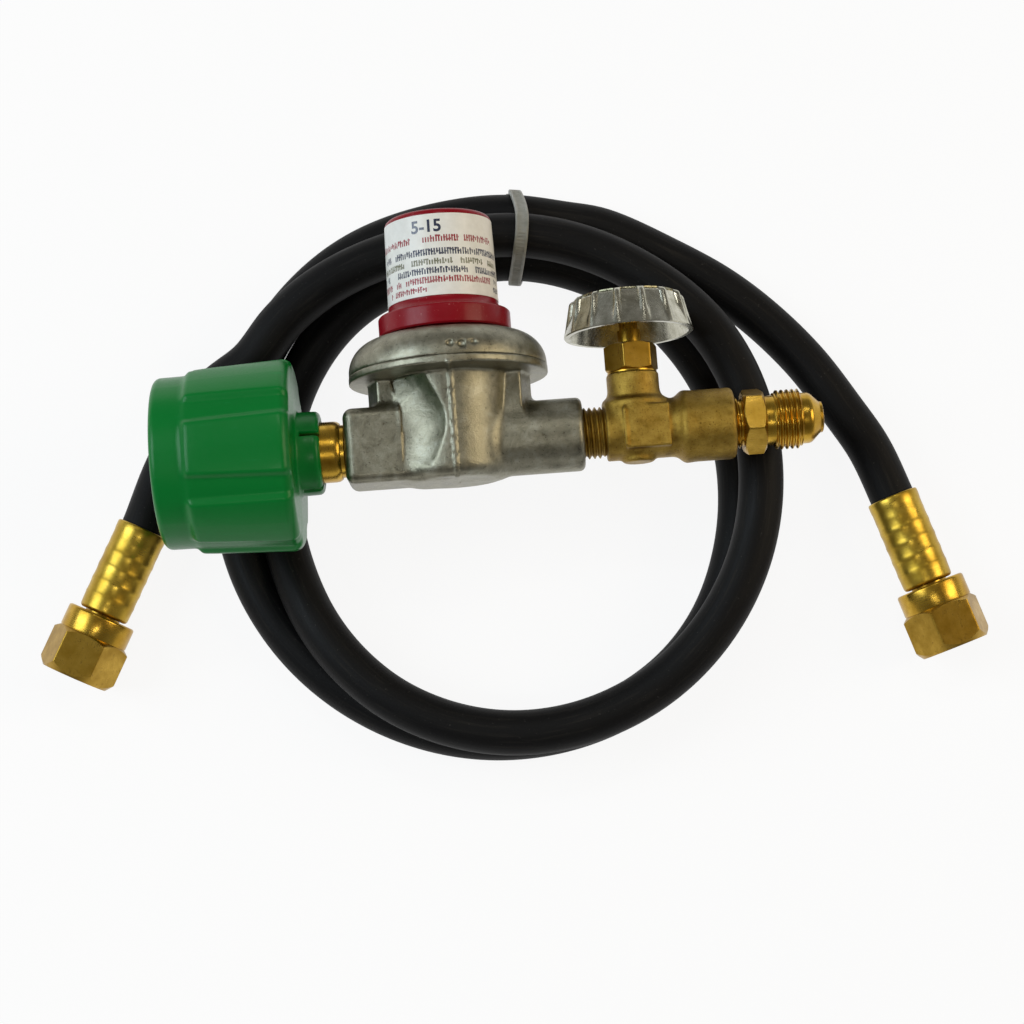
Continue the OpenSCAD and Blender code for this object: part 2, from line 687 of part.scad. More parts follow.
module handwheel() {
    rim_r = wheel_rim_d / 2;
    top_r = wheel_top_d / 2;
    lean = atan((rim_r - top_r) / wheel_h);
    ridge_r = 1.5;
    top_thick = 1.8;
    hub_r = wheel_hub_d / 2;
    socket_r = stem_d / 2 - 0.7 + fit;
    color("silver") assembly() translate([stem_u, 0, 0]) along_y() difference() {
        union() {
            difference() {
                union() {
                    turned([[0, wheel_low], [rim_r - 0.6, wheel_low], [top_r - 0.6, wheel_high - 1],
                        [top_r - 1.6, wheel_high], [0, wheel_high]]);
                    intersection() {
                        for (i = [0 : wheel_ridges - 1]) rotate([0, 0, i * 360 / wheel_ridges])
                            translate([rim_r - ridge_r, 0, wheel_low]) rotate([0, -lean, 0])
                                translate([0, 0, -1]) cylinder(r = ridge_r, h = wheel_h + 3);
                        rod(wheel_rim_d + 4, wheel_low, wheel_high - 0.4);
                    }
                }
                turned([[0, wheel_low - 1], [rim_r - wheel_wall, wheel_low - 1],
                    [rim_r - wheel_wall, wheel_low], [top_r - wheel_wall - 0.6, wheel_high - top_thick],
                    [0, wheel_high - top_thick]]);
            }
            rod(wheel_hub_d, wheel_low + 0.3, wheel_high - 0.5);
        }
        rod(2 * socket_r, wheel_low - 1, wheel_high + 1);
        rod(2 * hub_r, wheel_low - 1, wheel_low + 0.3);
    }
}

module handwheel_screw() {
    head_d = 7.6;
    color(steel) assembly() translate([stem_u, 0, 0]) along_y() difference() {
        turned([[0, wheel_high - 1.1], [stem_d / 2 - 0.8, wheel_high - 1.1],
            [stem_d / 2 - 0.8, wheel_high], [head_d / 2, wheel_high], [head_d / 2, wheel_high + 0.8],
            [head_d / 2 - 1, wheel_high + 1.7], [0, wheel_high + 1.9]]);
        translate([-head_d / 2, -0.5, wheel_high + 1]) cube([head_d, 1, 2]);
    }
}

// ---- the flare outlet -----------------------------------------------------------------------

module flare_outlet() {
    turn = 20;
    thread_r = pipe_thread_d / 2;
    pipe_pitch = 1.411;
    pipe_count = round((flare_stub_len + port_depth - 2.5) / pipe_pitch);
    pipe_from = hex_start - 0.5 - pipe_count * pipe_pitch;
    neck_r = 6.65;
    crest_r = flare_thread_d / 2;
    nose_r = flare_nose_d / 2;
    bore_r = flare_bore_d / 2;
    hex_corner = flare_hex_af / 2 + 1.2;
    color(brass) assembly() along_x() difference() {
        union() {
            turned(concat([[0, pipe_from]],
                rings(pipe_from, pipe_pitch, pipe_count, thread_r - 0.8, thread_r),
                [[thread_r - 0.8, hex_start - 0.5], [thread_r - 0.8, hex_start + 0.5],
                 [0, hex_start + 0.5]]));
            intersection() {
                rotate([0, 0, turn]) hexagon(flare_hex_af, hex_start, hex_end);
                turned([[0, hex_start], [hex_corner - 1, hex_start], [hex_corner, hex_start + 0.7],
                    [hex_corner, hex_end - 0.7], [hex_corner - 1, hex_end], [0, hex_end]]);
            }
            turned(concat([[0, hex_end - 0.5], [neck_r, hex_end - 0.5], [neck_r, thread_start]],
                rings(thread_start, flare_pitch, flare_crests, crest_r - 0.85, crest_r),
                [[nose_r, nose_start], [nose_r, cone_start],
                 [nose_r - cone_len, cone_start + cone_len], [0, cone_start + cone_len]]));
        }
        rod(2 * bore_r, pipe_from - 1, cone_start + cone_len + 1);
    }
}

// ---- the hose -------------------------------------------------------------------------------

function slope(list, i, k) =
    let (low = max(0, i - 1), high = min(len(list) - 1, i + 1))
    (list[high][k] - list[low][k]) / (list[high][0] - list[low][0]);
function station(list, a, i = 0) =
    i >= len(list) - 2 || a < list[i + 1][0] ? i : station(list, a, i + 1);
// A smooth curve through the stations: radius for k = 1 and height for k = 2
function smooth(a, k) =
    let (i = station(coil_stations, a), p = coil_stations[i], q = coil_stations[i + 1],
         h = q[0] - p[0], t = (a - p[0]) / h)
    (2 * t * t * t - 3 * t * t + 1) * p[k] + (t * t * t - 2 * t * t + t) * h * slope(coil_stations, i, k)
    + (3 * t * t - 2 * t * t * t) * q[k] + (t * t * t - t * t) * h * slope(coil_stations, i + 1, k);
function coil_point(a) =
    [coil_x + smooth(a, 1) * sin(a), coil_y + smooth(a, 1) * cos(a),
     hose_d / 2 + smooth(a, 2) - floor_cut * max(0, 1 - smooth(a, 2) / tie_lift)];

coil_steps = round((coil_end - coil_start) * rings_per_loop / 360);
coil_turns = [for (i = [0 : coil_steps]) coil_point(coil_start + (coil_end - coil_start) * i / coil_steps)];
// The coil's ends run straight for one diameter
coil_first = coil_turns[0] + hose_d * unit(coil_point(coil_start - 8) - coil_turns[0]);
coil_last = coil_turns[coil_steps] + hose_d * unit(coil_point(coil_end + 8) - coil_turns[coil_steps]);
coil_path = concat([coil_first], coil_turns, [coil_last]);

// The least gap between two loops, over the points of their rings that pass each other
coil_skins = tube_rings(coil_path, hose_d / 2, coil_sides);
function nearest(i, j) = min([for (p = coil_skins[i], q = coil_skins[j]) norm(p - q)]);
coil_gap = min([for (i = [0 : len(coil_path) - 1], j = [i + 8 : 1 : len(coil_path) - 1])
    if (norm(coil_path[i] - coil_path[j]) < 2 * hose_d) nearest(i, j)]);
echo(least_gap_between_loops = coil_gap,  // hose_coil
         least_distance_of_centres = min([for (i = [0 : len(coil_path) - 1],
             j = [i + 8 : 1 : len(coil_path) - 1]) norm(coil_path[i] - coil_path[j])]));

module floor_block() {
    size = 300;
    deep = 20;
    translate([-size / 2, -size / 2, -deep]) cube([size, size, deep]);
}

module hose_coil() {
    color(black) difference() {
        tube(coil_path, hose_d / 2, coil_sides);
        floor_block();
    }
}

function end_point(mouth, turn, s) = mouth + s * [cos(turn), sin(turn), 0];

tail_over = 1;                                 // each tail runs on and is cut at the ferrule's mouth
module tail_cut() { along_x() rod(2 * hose_d, 0, 3 * tail_over); }

module hose_tail_left() {
    color(black) difference() {
        tube(concat([coil_first, coil_first + (coil_first - coil_turns[0]) / 4],
            tail_left_points, [end_point(mouth_left, turn_left, tail_over)]), hose_d / 2, tail_sides);
        at_left() tail_cut();
    }
}

module hose_tail_right() {
    color(black) difference() {
        tube(concat([coil_last, coil_last + (coil_last - coil_turns[coil_steps]) / 4],
            tail_right_points, [end_point(mouth_right, turn_right, tail_over)]), hose_d / 2, tail_sides);
        at_right() tail_cut();
        floor_block();
    }
}

// ---- the hose's end fittings, drawn along X from the ferrule's mouth ---------------------------

module at_left() { translate(mouth_left) rotate([0, 0, turn_left]) children(); }
module at_right() { translate(mouth_right) rotate([0, 0, turn_right]) children(); }

ferrule_wall = 2;                              // thickness of the ferrule's closed end
stem_neck_r = 3.6;
stem_head_r = 5;
swivel_start = ferrule_len + swivel_gap;
swivel_hex_start = swivel_start + swivel_collar_len;
swivel_end = swivel_hex_start + swivel_hex_len;
flare_foot = swivel_start + 4.9;               // where the stem's head starts to flare
swivel_thread_r = 7.2;

module hose_end() {
    color(black) along_x() difference() {
        rod(hose_d, 0, hose_depth);
        rod(hose_bore_d, -1, hose_depth + 1);
    }
}

module ferrule() {
    outer_r = ferrule_d / 2;
    band = 3.4;
    first = 5.2;
    pitch = (ferrule_len - first - 4) / crimp_bands;
    dip = 0.35;
    lip = 0.5;
    color(brass) along_x() difference() {
        union() {
            turned([[0, 0], [outer_r - lip, 0], [outer_r, lip], [outer_r, 2.4], [outer_r - dip, 2.9],
                [outer_r - dip, ferrule_len - 2], [outer_r - dip - 0.8, ferrule_len], [0, ferrule_len]]);
            for (i = [0 : crimp_bands - 1])
                rod(2 * outer_r - 0.2, first + (i + 1) * pitch - 1.2, first + (i + 1) * pitch);
        }
        for (i = [0 : crimp_bands - 1]) translate([0, 0, first + i * pitch]) difference() {
            cylinder(r = outer_r + 2, h = band);
            cylinder(r = (outer_r - 0.25) / cos(22.5), h = band, $fn = 8);
        }
        rod(hose_d + 2 * fit, -1, ferrule_len - ferrule_wall);
        rod(2 * (stem_neck_r + fit), 0, ferrule_len + 1);
    }
}

module hose_stem() {
    barb_r = hose_bore_d / 2 - fit;
    bore_r = 2.2;
    barbs = 6;
    head_end = flare_foot + 3.3;
    seat_r = 6.6;
    color(brass) along_x() turned(concat(
        [[bore_r, 1.5], [barb_r - 0.6, 1.5]],
        [for (i = [0 : barbs - 1]) each [[barb_r, 3.4 + i * 3], [barb_r - 0.5, 3.6 + i * 3]]],
        [[barb_r - 0.5, hose_depth + 0.5], [stem_neck_r, hose_depth + 1],
         [stem_neck_r, ferrule_len + fit], [stem_head_r, ferrule_len + fit], [stem_head_r, flare_foot],
         [seat_r + 0.35, flare_foot + seat_r + 0.35 - stem_head_r], [seat_r + 0.35, head_end],
         [seat_r, head_end + 0.35], [bore_r, head_end + 0.35 - seat_r + bore_r]]));
}

module swivel_nut(turn) {
    collar_r = swivel_collar_d / 2;
    rear_round = 1.6;
    corner = swivel_af / 2 / cos(30);
    back_r = stem_head_r + run_gap;
    undercut_r = 7.6;
    shoulder = flare_foot + 0.1;
    undercut_end = flare_foot + 4.2;
    thread_turns = floor((swivel_end - undercut_end - 1.6) / flare_pitch);
    thread_to = undercut_end + 0.5 + thread_turns * flare_pitch;
    root_r = flare_thread_d / 2;
    land = 0.2;
    color(brass) along_x() difference() {
        union() {
            turned(concat([[0, swivel_start]],
                arc(collar_r - rear_round, swivel_start + rear_round, rear_round, -90, 0),
                [[collar_r, swivel_hex_start + 0.5], [0, swivel_hex_start + 0.5]]));
            intersection() {
                rotate([0, 0, turn]) hexagon(swivel_af, swivel_hex_start, swivel_end);
                turned([[0, swivel_hex_start], [corner - 0.9, swivel_hex_start],
                    [corner + 0.1, swivel_hex_start + 1], [corner + 0.1, swivel_end - 0.8],
                    [corner - 1, swivel_end], [0, swivel_end]]);
            }
        }
        turned(concat([[0, swivel_start - 1], [back_r, swivel_start - 1], [back_r, shoulder],
                       [undercut_r, shoulder + undercut_r - back_r], [undercut_r, undercut_end],
                       [swivel_thread_r, undercut_end + 0.4]],
            [for (i = [0 : thread_turns - 1]) let (s = undercut_end + 0.5 + i * flare_pitch)
                each [[swivel_thread_r, s + land], [root_r, s + flare_pitch * 0.45],
                      [root_r, s + flare_pitch * 0.55], [swivel_thread_r, s + flare_pitch - land]]],
            [[swivel_thread_r, thread_to], [swivel_thread_r, swivel_end - 0.9],
             [root_r + 0.2, swivel_end], [root_r + 0.2, swivel_end + 1], [0, swivel_end + 1]]));
    }
}

module hose_end_left() { at_left() hose_end(); }
module hose_end_right() { at_right() hose_end(); }
module ferrule_left() { at_left() ferrule(); }
module ferrule_right() { at_right() ferrule(); }
module hose_stem_left() { at_left() hose_stem(); }
module hose_stem_right() { at_right() hose_stem(); }
module swivel_nut_left() { at_left() swivel_nut(33); }
module swivel_nut_right() { at_right() swivel_nut(26); }

// ---- the cable tie -----------------------------------------------------------------------------

module cable_tie() {
    // The band's plane stands across the strands: first along the coil's radius, then up
    strands = [for (turn = [0, 360, 720]) let (a = tie_angle + turn)
        [smooth(a, 1), hose_d / 2 + smooth(a, 2)]];
    inner = hose_d / 2 + tie_slack;
    head = [2.8, 3.1, 5.4];
    head_from = strands[2][0] + hose_d / 2 - 1.2;
    color([0.85, 0.86, 0.85]) translate([coil_x, coil_y, 0]) rotate([90, 0, 90 - tie_angle])
        union() {
            translate([0, 0, -tie_w / 2]) linear_extrude(tie_w) difference() {
                hull() for (p = strands) translate(p) circle(r = inner + tie_thick);
                hull() for (p = strands) translate(p) circle(r = inner);
            }
            translate([head_from, 0.3, -head[2] / 2]) cube(head);
        }
}

inlet_nut();
thermal_bushing();
inlet_nipple();
flow_check_poppet();
flow_check_spring();
flow_check_clip();
regulator_body();
valve_seat();
regulator_poppet();
poppet_spring();
diaphragm();
diaphragm_plate();
main_spring();
spring_seat();
bonnet();
adjusting_cap();
cap_label();
valve_body();
stem_packing();
packing_nut();
valve_stem();
handwheel();
handwheel_screw();
flare_outlet();
hose_coil();
hose_tail_left();
hose_tail_right();
hose_end_left();
hose_end_right();
ferrule_left();
ferrule_right();
hose_stem_left();
hose_stem_right();
swivel_nut_left();
swivel_nut_right();
cable_tie();
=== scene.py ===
from math import atan2, cos, degrees, pi, radians, sin, sqrt

import bmesh
import bpy
import numpy as np
from mathutils import Matrix, Vector


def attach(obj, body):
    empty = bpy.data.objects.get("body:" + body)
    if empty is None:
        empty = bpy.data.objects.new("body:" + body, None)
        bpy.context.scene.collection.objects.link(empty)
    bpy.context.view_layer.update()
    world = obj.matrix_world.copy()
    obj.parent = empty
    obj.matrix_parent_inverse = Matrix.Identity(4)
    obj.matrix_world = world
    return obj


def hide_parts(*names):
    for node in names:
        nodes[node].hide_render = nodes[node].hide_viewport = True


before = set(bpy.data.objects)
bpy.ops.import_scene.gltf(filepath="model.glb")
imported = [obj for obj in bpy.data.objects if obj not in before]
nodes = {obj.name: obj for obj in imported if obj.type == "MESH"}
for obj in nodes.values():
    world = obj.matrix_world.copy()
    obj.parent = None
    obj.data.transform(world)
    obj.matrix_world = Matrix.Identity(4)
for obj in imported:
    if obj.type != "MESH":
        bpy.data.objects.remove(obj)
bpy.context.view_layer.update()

MM = 0.001
scene = bpy.context.scene
scene.view_settings.view_transform = "Standard"


# ---- The bench ----------------------------------------------------------------------------------
# The finished hose and regulator lie on a pale bench, looked at from almost straight above.
# A wide cool window stands at the left, a warmer one at the right, and two small lamps overhead.

BENCH_HALF, BENCH_DROP, BENCH_SHARE = 9, 0.00002, 0.9
EYE, LENS, SENSOR = (-0.00421, -0.09405, 0.61538), 77.34, 36
LIT_PLACE = Vector((0, 0, 0.03))
roll, tilt = radians(4.2), radians(83)
across = Vector((cos(roll), -sin(roll), 0))
level = Vector((sin(roll), cos(roll), 0))
aim = level * cos(tilt) - Vector((0, 0, sin(tilt)))
upright = level * sin(tilt) + Vector((0, 0, cos(tilt)))
camera = bpy.data.objects.new("camera", bpy.data.cameras.new("camera"))
camera.data.lens, camera.data.sensor_width = LENS, SENSOR
camera.data.clip_start, camera.data.clip_end = 0.01, 40
camera.matrix_world = Matrix((across, upright, -aim)).transposed().to_4x4()
camera.location = EYE
scene.collection.objects.link(camera)
scene.camera = camera


def tone(red, green, blue):
    """A colour as it is read off a paint card, 0 to 255, for a shader"""
    return tuple((c / 255 / 12.92 if c < 10.3 else ((c / 255 + 0.055) / 1.055) ** 2.4)
                 for c in (red, green, blue)) + (1,)


def add(tree, kind, wires=None, **settings):
    """One shader node: settings are its own, wires are what goes into each socket"""
    node = tree.nodes.new("ShaderNode" + kind)
    for key, value in settings.items():
        setattr(node, key, value)
    for socket, value in (wires or {}).items():
        if isinstance(value, bpy.types.NodeSocket):
            tree.links.new(value, node.inputs[socket])
        else:
            node.inputs[socket].default_value = value
    return node


def maths(tree, how, a, b=0.0, c=0.0):
    return add(tree, "Math", {0: a, 1: b, 2: c}, operation=how).outputs[0]


def steps(tree, value, *stops):
    """A ramp from one colour, or one number, to the next"""
    ramp = add(tree, "ValToRGB", {"Fac": value})
    band = ramp.color_ramp
    while len(band.elements) < len(stops):
        band.elements.new(0.5)
    for element, (place, colour) in zip(band.elements, stops):
        element.position = place
        element.color = colour if hasattr(colour, "__len__") else (colour, colour, colour, 1)
    return ramp.outputs["Color"]


bench_paint = bpy.data.materials.new("bench_paint")
bench_paint.use_nodes = True
tree = bench_paint.node_tree
tree.nodes.clear()
path = add(tree, "LightPath").outputs
seen = maths(tree, "MAXIMUM", path["Is Camera Ray"], path["Is Glossy Ray"])
seen = maths(tree, "MAXIMUM", seen, path["Is Transmission Ray"])
share = maths(tree, "MULTIPLY", seen, BENCH_SHARE)
speckle = add(tree, "TexNoise", {"Scale": 60.0, "Detail": 3.0}).outputs["Fac"]
matt = add(tree, "BsdfDiffuse", {"Color": steps(tree, speckle, (0.3, 0.93), (0.7, 0.97))})
white = add(tree, "Emission", {"Color": (1, 1, 1, 1), "Strength": 1.0})
mixed = add(tree, "MixShader", {0: share, 1: matt.outputs[0], 2: white.outputs[0]})
add(tree, "OutputMaterial", {"Surface": mixed.outputs[0]})
bench = bpy.data.meshes.new("bench")
bench.from_pydata([(x * BENCH_HALF, y * BENCH_HALF, -BENCH_DROP)
                   for x, y in ((-1, -1), (1, -1), (1, 1), (-1, 1))], [], [(0, 1, 2, 3)])
bench.materials.append(bench_paint)
bench = bpy.data.objects.new("bench", bench)
scene.collection.objects.link(bench)

room = bpy.data.worlds.new("room")
scene.world = room
room.use_nodes = True
tree = room.node_tree
tree.nodes.clear()
height = add(tree, "SeparateXYZ", {0: add(tree, "TexCoord").outputs["Generated"]}).outputs[2]
walls = steps(tree, height, (0.0, (0.32, 0.32, 0.33, 1)), (0.35, (0.22, 0.22, 0.22, 1)),
              (0.7, (0.13, 0.122, 0.11, 1)), (1.0, (0.12, 0.11, 0.095, 1)))
lit = add(tree, "Background", {"Color": walls, "Strength": 1.0}).outputs[0]
add(tree, "OutputWorld", {"Surface": lit})


def lamp(name, place, size, power, colour):
    """A flat lamp or window that faces the part: its place and size in metres, power in watts"""
    light = bpy.data.lights.new(name, "AREA")
    light.shape, light.size, light.size_y = "RECTANGLE", size[0], size[1]
    light.energy, light.color = power, colour
    lit = bpy.data.objects.new(name, light)
    lit.location = place
    lit.rotation_euler = (LIT_PLACE - Vector(place)).to_track_quat("-Z", "Y").to_euler()
    scene.collection.objects.link(lit)


lamp("left_window", (-1.05, 0.25, 0.95), (0.9, 0.9), 12.0, (0.78, 0.9, 1.0))
lamp("right_window", (1.05, 0.1, 0.8), (0.7, 0.7), 6.0, (1.0, 0.84, 0.6))
lamp("far_lamp", (0.1, 0.7, 1.25), (0.5, 0.12), 1.6, (1.0, 0.98, 0.94))
lamp("near_lamp", (-0.05, -0.42, 1.4), (0.4, 0.1), 1.3, (1.0, 0.98, 0.94))


# ---- The hose -----------------------------------------------------------------------------------
# One length of black rubber gas hose, 12.2 mm thick, wound in two loops and gripped at both ends
# by a ferrule, which hides its bore. Its skin is satin, with dust and scuffs drawn along it.

HOSE, SIDES, RING_GAP = 12.2, 48, 2.0
coil_centre = (-0.85, -10.5)
tie_at, over_tie = 8, 1.4
# Angle clockwise from the top of the coil, radius, and height over the lowest strand
coil_stations = [
    (-62, 76, 12.3), (-45, 73.3, 12.8), (-25, 69.5, 12.3), (-10, 67.4, 11.5), (8, 67.1, 13.1),
    (37, 67.9, 13.5), (62, 69.8, 15.5), (90, 70.4, 16.5), (120, 71.1, 15.7), (150, 71.4, 13.4),
    (180, 70.5, 12.5), (207, 68.3, 12), (222, 66.4, 10.9), (234, 64.8, 9.2), (247, 63.2, 6.3),
    (258, 62.5, 3.6), (270, 62.5, 1), (290, 63.4, 0.1), (325, 64.7, 0), (350, 62.6, 0.2),
    (368, 63.1, over_tie), (386, 63.8, 0.2), (415, 64.5, 0), (450, 66, 0), (470, 67.6, 0),
    (490, 70, 0), (505, 71, 0), (540, 71.5, 0), (570, 72.1, 0), (600, 73.5, 0), (615, 74.3, 0),
    (630, 74.9, 0), (645, 75.6, 0), (660, 76.4, 0), (675, 76.9, 0), (690, 76.9, 0),
    (710, 75.6, 0.2), (728, 75.4, over_tie), (742, 75.6, 0.3)]
left_tail = [(-75.4, 20.8, 17.8), (-81, 17.3, 15.6), (-87.4, 10.9, 11), (-90.4, 5.9, 8.8),
             (-95.3, -3.1, 7.9)]
right_tail = [(32.7, 58.9, 6.7), (50.9, 49, 6.1), (64.4, 40, 6.2), (75.7, 29.7, 6.6),
              (86.5, 16.7, 7.6), (95.5, 1.8, 9.2), (101.6, -9.5, 10.4)]
left_mouth, left_turn = Vector((-100.9, -17.3, 11.05)), radians(-118)
right_mouth, right_turn = Vector((106.5, -23.5, 11.05)), radians(-72.5)
GRIPPED = 20


def coil_at(angle, k):
    """Radius (k = 1) or height (k = 2) of the coil at an angle, smooth through the stations"""
    c = coil_stations
    i = max(n for n in range(len(c) - 1) if n == 0 or angle >= c[n][0])

    def lean(n):
        low, high = max(0, n - 1), min(len(c) - 1, n + 1)
        return (c[high][k] - c[low][k]) / (c[high][0] - c[low][0])

    width = c[i + 1][0] - c[i][0]
    t = (angle - c[i][0]) / width
    return ((2 * t**3 - 3 * t**2 + 1) * c[i][k] + (t**3 - 2 * t**2 + t) * width * lean(i)
            + (3 * t**2 - 2 * t**3) * c[i + 1][k] + (t**3 - t**2) * width * lean(i + 1))


def coil_point(angle):
    """A place on the coil's middle line"""
    r, a = coil_at(angle, 1), radians(angle)
    return Vector((coil_centre[0] + r * sin(a), coil_centre[1] + r * cos(a),
                   HOSE / 2 + coil_at(angle, 2)))


def beyond(mouth, turn, far):
    """A place this far past a hose end's mouth, inside its ferrule"""
    return mouth + far * Vector((cos(turn), sin(turn), 0))


def flowing(points, gap):
    """Evenly spaced points of one smooth curve (a centripetal spline) through the given ones"""
    p = [2 * points[0] - points[1], *points, 2 * points[-1] - points[-2]]
    fine = []
    for a, b, c, d in zip(p, p[1:], p[2:], p[3:]):
        t0 = 0
        t1 = t0 + max((b - a).length, 1e-6) ** 0.5
        t2 = t1 + max((c - b).length, 1e-6) ** 0.5
        t3 = t2 + max((d - c).length, 1e-6) ** 0.5
        for n in range(12):
            t = t1 + (t2 - t1) * n / 12
            e = (a.lerp(b, (t - t0) / (t1 - t0)), b.lerp(c, (t - t1) / (t2 - t1)),
                 c.lerp(d, (t - t2) / (t3 - t2)))
            f = (e[0].lerp(e[1], (t - t0) / (t2 - t0)), e[1].lerp(e[2], (t - t1) / (t3 - t1)))
            fine.append(f[0].lerp(f[1], (t - t1) / (t2 - t1)))
    fine.append(points[-1])
    far = np.concatenate([[0], np.cumsum([(b - a).length for a, b in zip(fine, fine[1:])])])
    places = np.linspace(0, far[-1], int(far[-1] / gap) + 1)
    return np.stack([np.interp(places, far, [q[k] for q in fine]) for k in range(3)], 1)


def grid_faces(rows, columns, turn=True):
    """Faces between neighbouring rings of points; the last column meets the first if they turn"""
    i = np.arange(rows - 1)[:, None] * columns
    j = np.arange(columns if turn else columns - 1)[None, :]
    k = (j + 1) % columns
    return np.stack([i + j, i + k, i + columns + k, i + columns + j], -1).reshape(-1, 4).tolist()


def piece(name, points, faces, paint, place=None, sharp=40, wrap=None):
    """A piece of the given skin: points in millimetres, wrap its flat layout for each point"""
    mesh = bpy.data.meshes.new(name)
    mesh.from_pydata(np.asarray(points, float) * MM, [], faces)
    if wrap is not None:
        corners = np.zeros(len(mesh.loops), np.int32)
        mesh.loops.foreach_get("vertex_index", corners)
        layer = mesh.uv_layers.new(name="wrap")
        layer.data.foreach_set("uv", np.asarray(wrap, np.float32)[corners].ravel())
    joined = bmesh.new()
    joined.from_mesh(mesh)
    bmesh.ops.remove_doubles(joined, verts=joined.verts, dist=1e-7)
    bmesh.ops.recalc_face_normals(joined, faces=joined.faces)
    joined.to_mesh(mesh)
    joined.free()
    mesh.shade_smooth()
    mesh.set_sharp_from_angle(angle=radians(sharp))
    for one in paint if isinstance(paint, (list, tuple)) else [paint]:
        mesh.materials.append(one)
    made = bpy.data.objects.new(name, mesh)
    made.matrix_world = place or Matrix.Identity(4)
    scene.collection.objects.link(made)
    return made


def finish(name, metallic=0.0, **constants):
    """A new material: itself, its tree, its Principled shader's sockets"""
    paint = bpy.data.materials.new(name)
    paint.use_nodes = True
    tree = paint.node_tree
    tree.nodes.clear()
    shader = add(tree, "BsdfPrincipled", {"Metallic": metallic})
    add(tree, "OutputMaterial", {"Surface": shader.outputs[0]})
    for socket, value in constants.items():
        shader.inputs[socket.replace("_", " ")].default_value = value
    return paint, tree, shader.inputs


def grain(tree, scale, detail=3.0, rough=0.5, warp=0.0, stretch=(1, 1, 1), flat=False):
    """Noise between 0 and 1 over a piece in millimetres, or over its flat layout"""
    spot = add(tree, "TexCoord").outputs["UV" if flat else "Object"]
    grow = 1 if flat else 1000
    spot = add(tree, "Mapping", {"Vector": spot, "Scale": [s * grow for s in stretch]}).outputs[0]
    return add(tree, "TexNoise", {"Vector": spot, "Scale": scale, "Detail": detail,
                                  "Roughness": rough, "Distortion": warp}).outputs["Fac"]


def between(tree, share, a, b):
    """One colour that turns into another as share goes from 0 to 1"""
    node = add(tree, "Mix", data_type="RGBA")
    for socket, value in ((node.inputs[0], share), (node.inputs[6], a), (node.inputs[7], b)):
        if isinstance(value, bpy.types.NodeSocket):
            tree.links.new(value, socket)
        else:
            socket.default_value = value
    return node.outputs[2]


def dents(tree, height, depth, onto=None):
    """A surface that rises and falls by about depth millimetres"""
    wires = {"Height": height, "Strength": 1.0, "Distance": depth * MM}
    if onto is not None:
        wires["Normal"] = onto
    return add(tree, "Bump", wires).outputs[0]


def use(tree, sockets, **values):
    """Links what was made to the shader's sockets"""
    for socket, value in values.items():
        tree.links.new(value, sockets[socket.replace("_", " ")])


rubber, tree, skin = finish("hose_rubber", Specular_IOR_Level=0.17)
dust = grain(tree, 1.0, 5.0, 0.62, stretch=(0.055, 0.9, 1), flat=True)
fine_grain = grain(tree, 2.6, 4.0, 0.6)
patches = grain(tree, 0.05, 2.0)
specks = steps(tree, grain(tree, 1.15, 2.0, 0.7), (0.685, 0), (0.72, 1))
black = between(tree, patches, tone(8, 8, 10), tone(14, 13, 12))
dusty = between(tree, steps(tree, dust, (0.52, 0), (0.78, 0.62)), black, tone(44, 41, 37))
use(tree, skin, Base_Color=between(tree, specks, dusty, tone(42, 40, 38)),
    Roughness=steps(tree, dust, (0.3, 0.5), (0.7, 0.66)),
    Normal=dents(tree, fine_grain, 0.035, dents(tree, dust, 0.02)))

angles = np.arange(-52, 729, 5)
coil = [coil_point(a) for a in angles]
coil_in = coil[0] + HOSE * (coil_point(-60) - coil[0]).normalized()
coil_out = coil[-1] + HOSE * (coil_point(736) - coil[-1]).normalized()
route = [beyond(left_mouth, left_turn, GRIPPED), beyond(left_mouth, left_turn, GRIPPED / 2),
         left_mouth, *[Vector(p) for p in reversed(left_tail)], coil_in, *coil, coil_out,
         *[Vector(p) for p in right_tail], right_mouth,
         beyond(right_mouth, right_turn, GRIPPED / 2), beyond(right_mouth, right_turn, GRIPPED)]
route = flowing(route, RING_GAP)
heading = np.gradient(route, axis=0)
heading /= np.linalg.norm(heading, axis=1)[:, None]
side = np.cross(heading, (0, 0, 1.0))
side /= np.linalg.norm(side, axis=1)[:, None]
over = np.cross(side, heading)
turns = 2 * pi * np.arange(SIDES + 1) / SIDES - pi / 2
ring = side[:, None] * np.cos(turns)[None, :, None] + over[:, None] * np.sin(turns)[None, :, None]
skin_points = (route[:, None] + HOSE / 2 * ring)
layout = np.stack(np.broadcast_arrays((RING_GAP * np.arange(len(route)))[:, None],
                                      (turns * HOSE / 2)[None, :]), -1)
rows, columns = skin_points.shape[:2]
faces = [face[::-1] for face in grid_faces(rows, columns, turn=False)]
points = skin_points.reshape(-1, 3)
faces += [list(range(SIDES)), list(range((rows - 1) * columns, rows * columns - 1))[::-1]]
hose = piece("hose", points, faces, rubber, wrap=layout.reshape(-1, 2))
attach(hose, "kit")
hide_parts("hose_coil", "hose_tail_left", "hose_tail_right", "hose_end_left",
            "hose_end_right")


# ---- The cable tie ------------------------------------------------------------------------------
# A natural nylon cable tie, 3.6 mm wide, drawn round the three strands at the top of the coil.
# Its head sits low at the outside, and fine teeth run along the middle of its outer face.

TIE_WIDTH, TIE_THICK, TIE_ROOM = 3.6, 1.1, 0.3
TOOTH_PITCH, TOOTH_DEEP, TIE_GAP = 0.88, 0.16, 0.22
strands = [Vector((coil_at(tie_at + turn, 1), HOSE / 2 + coil_at(tie_at + turn, 2)))
           for turn in (0, 360, 720)]


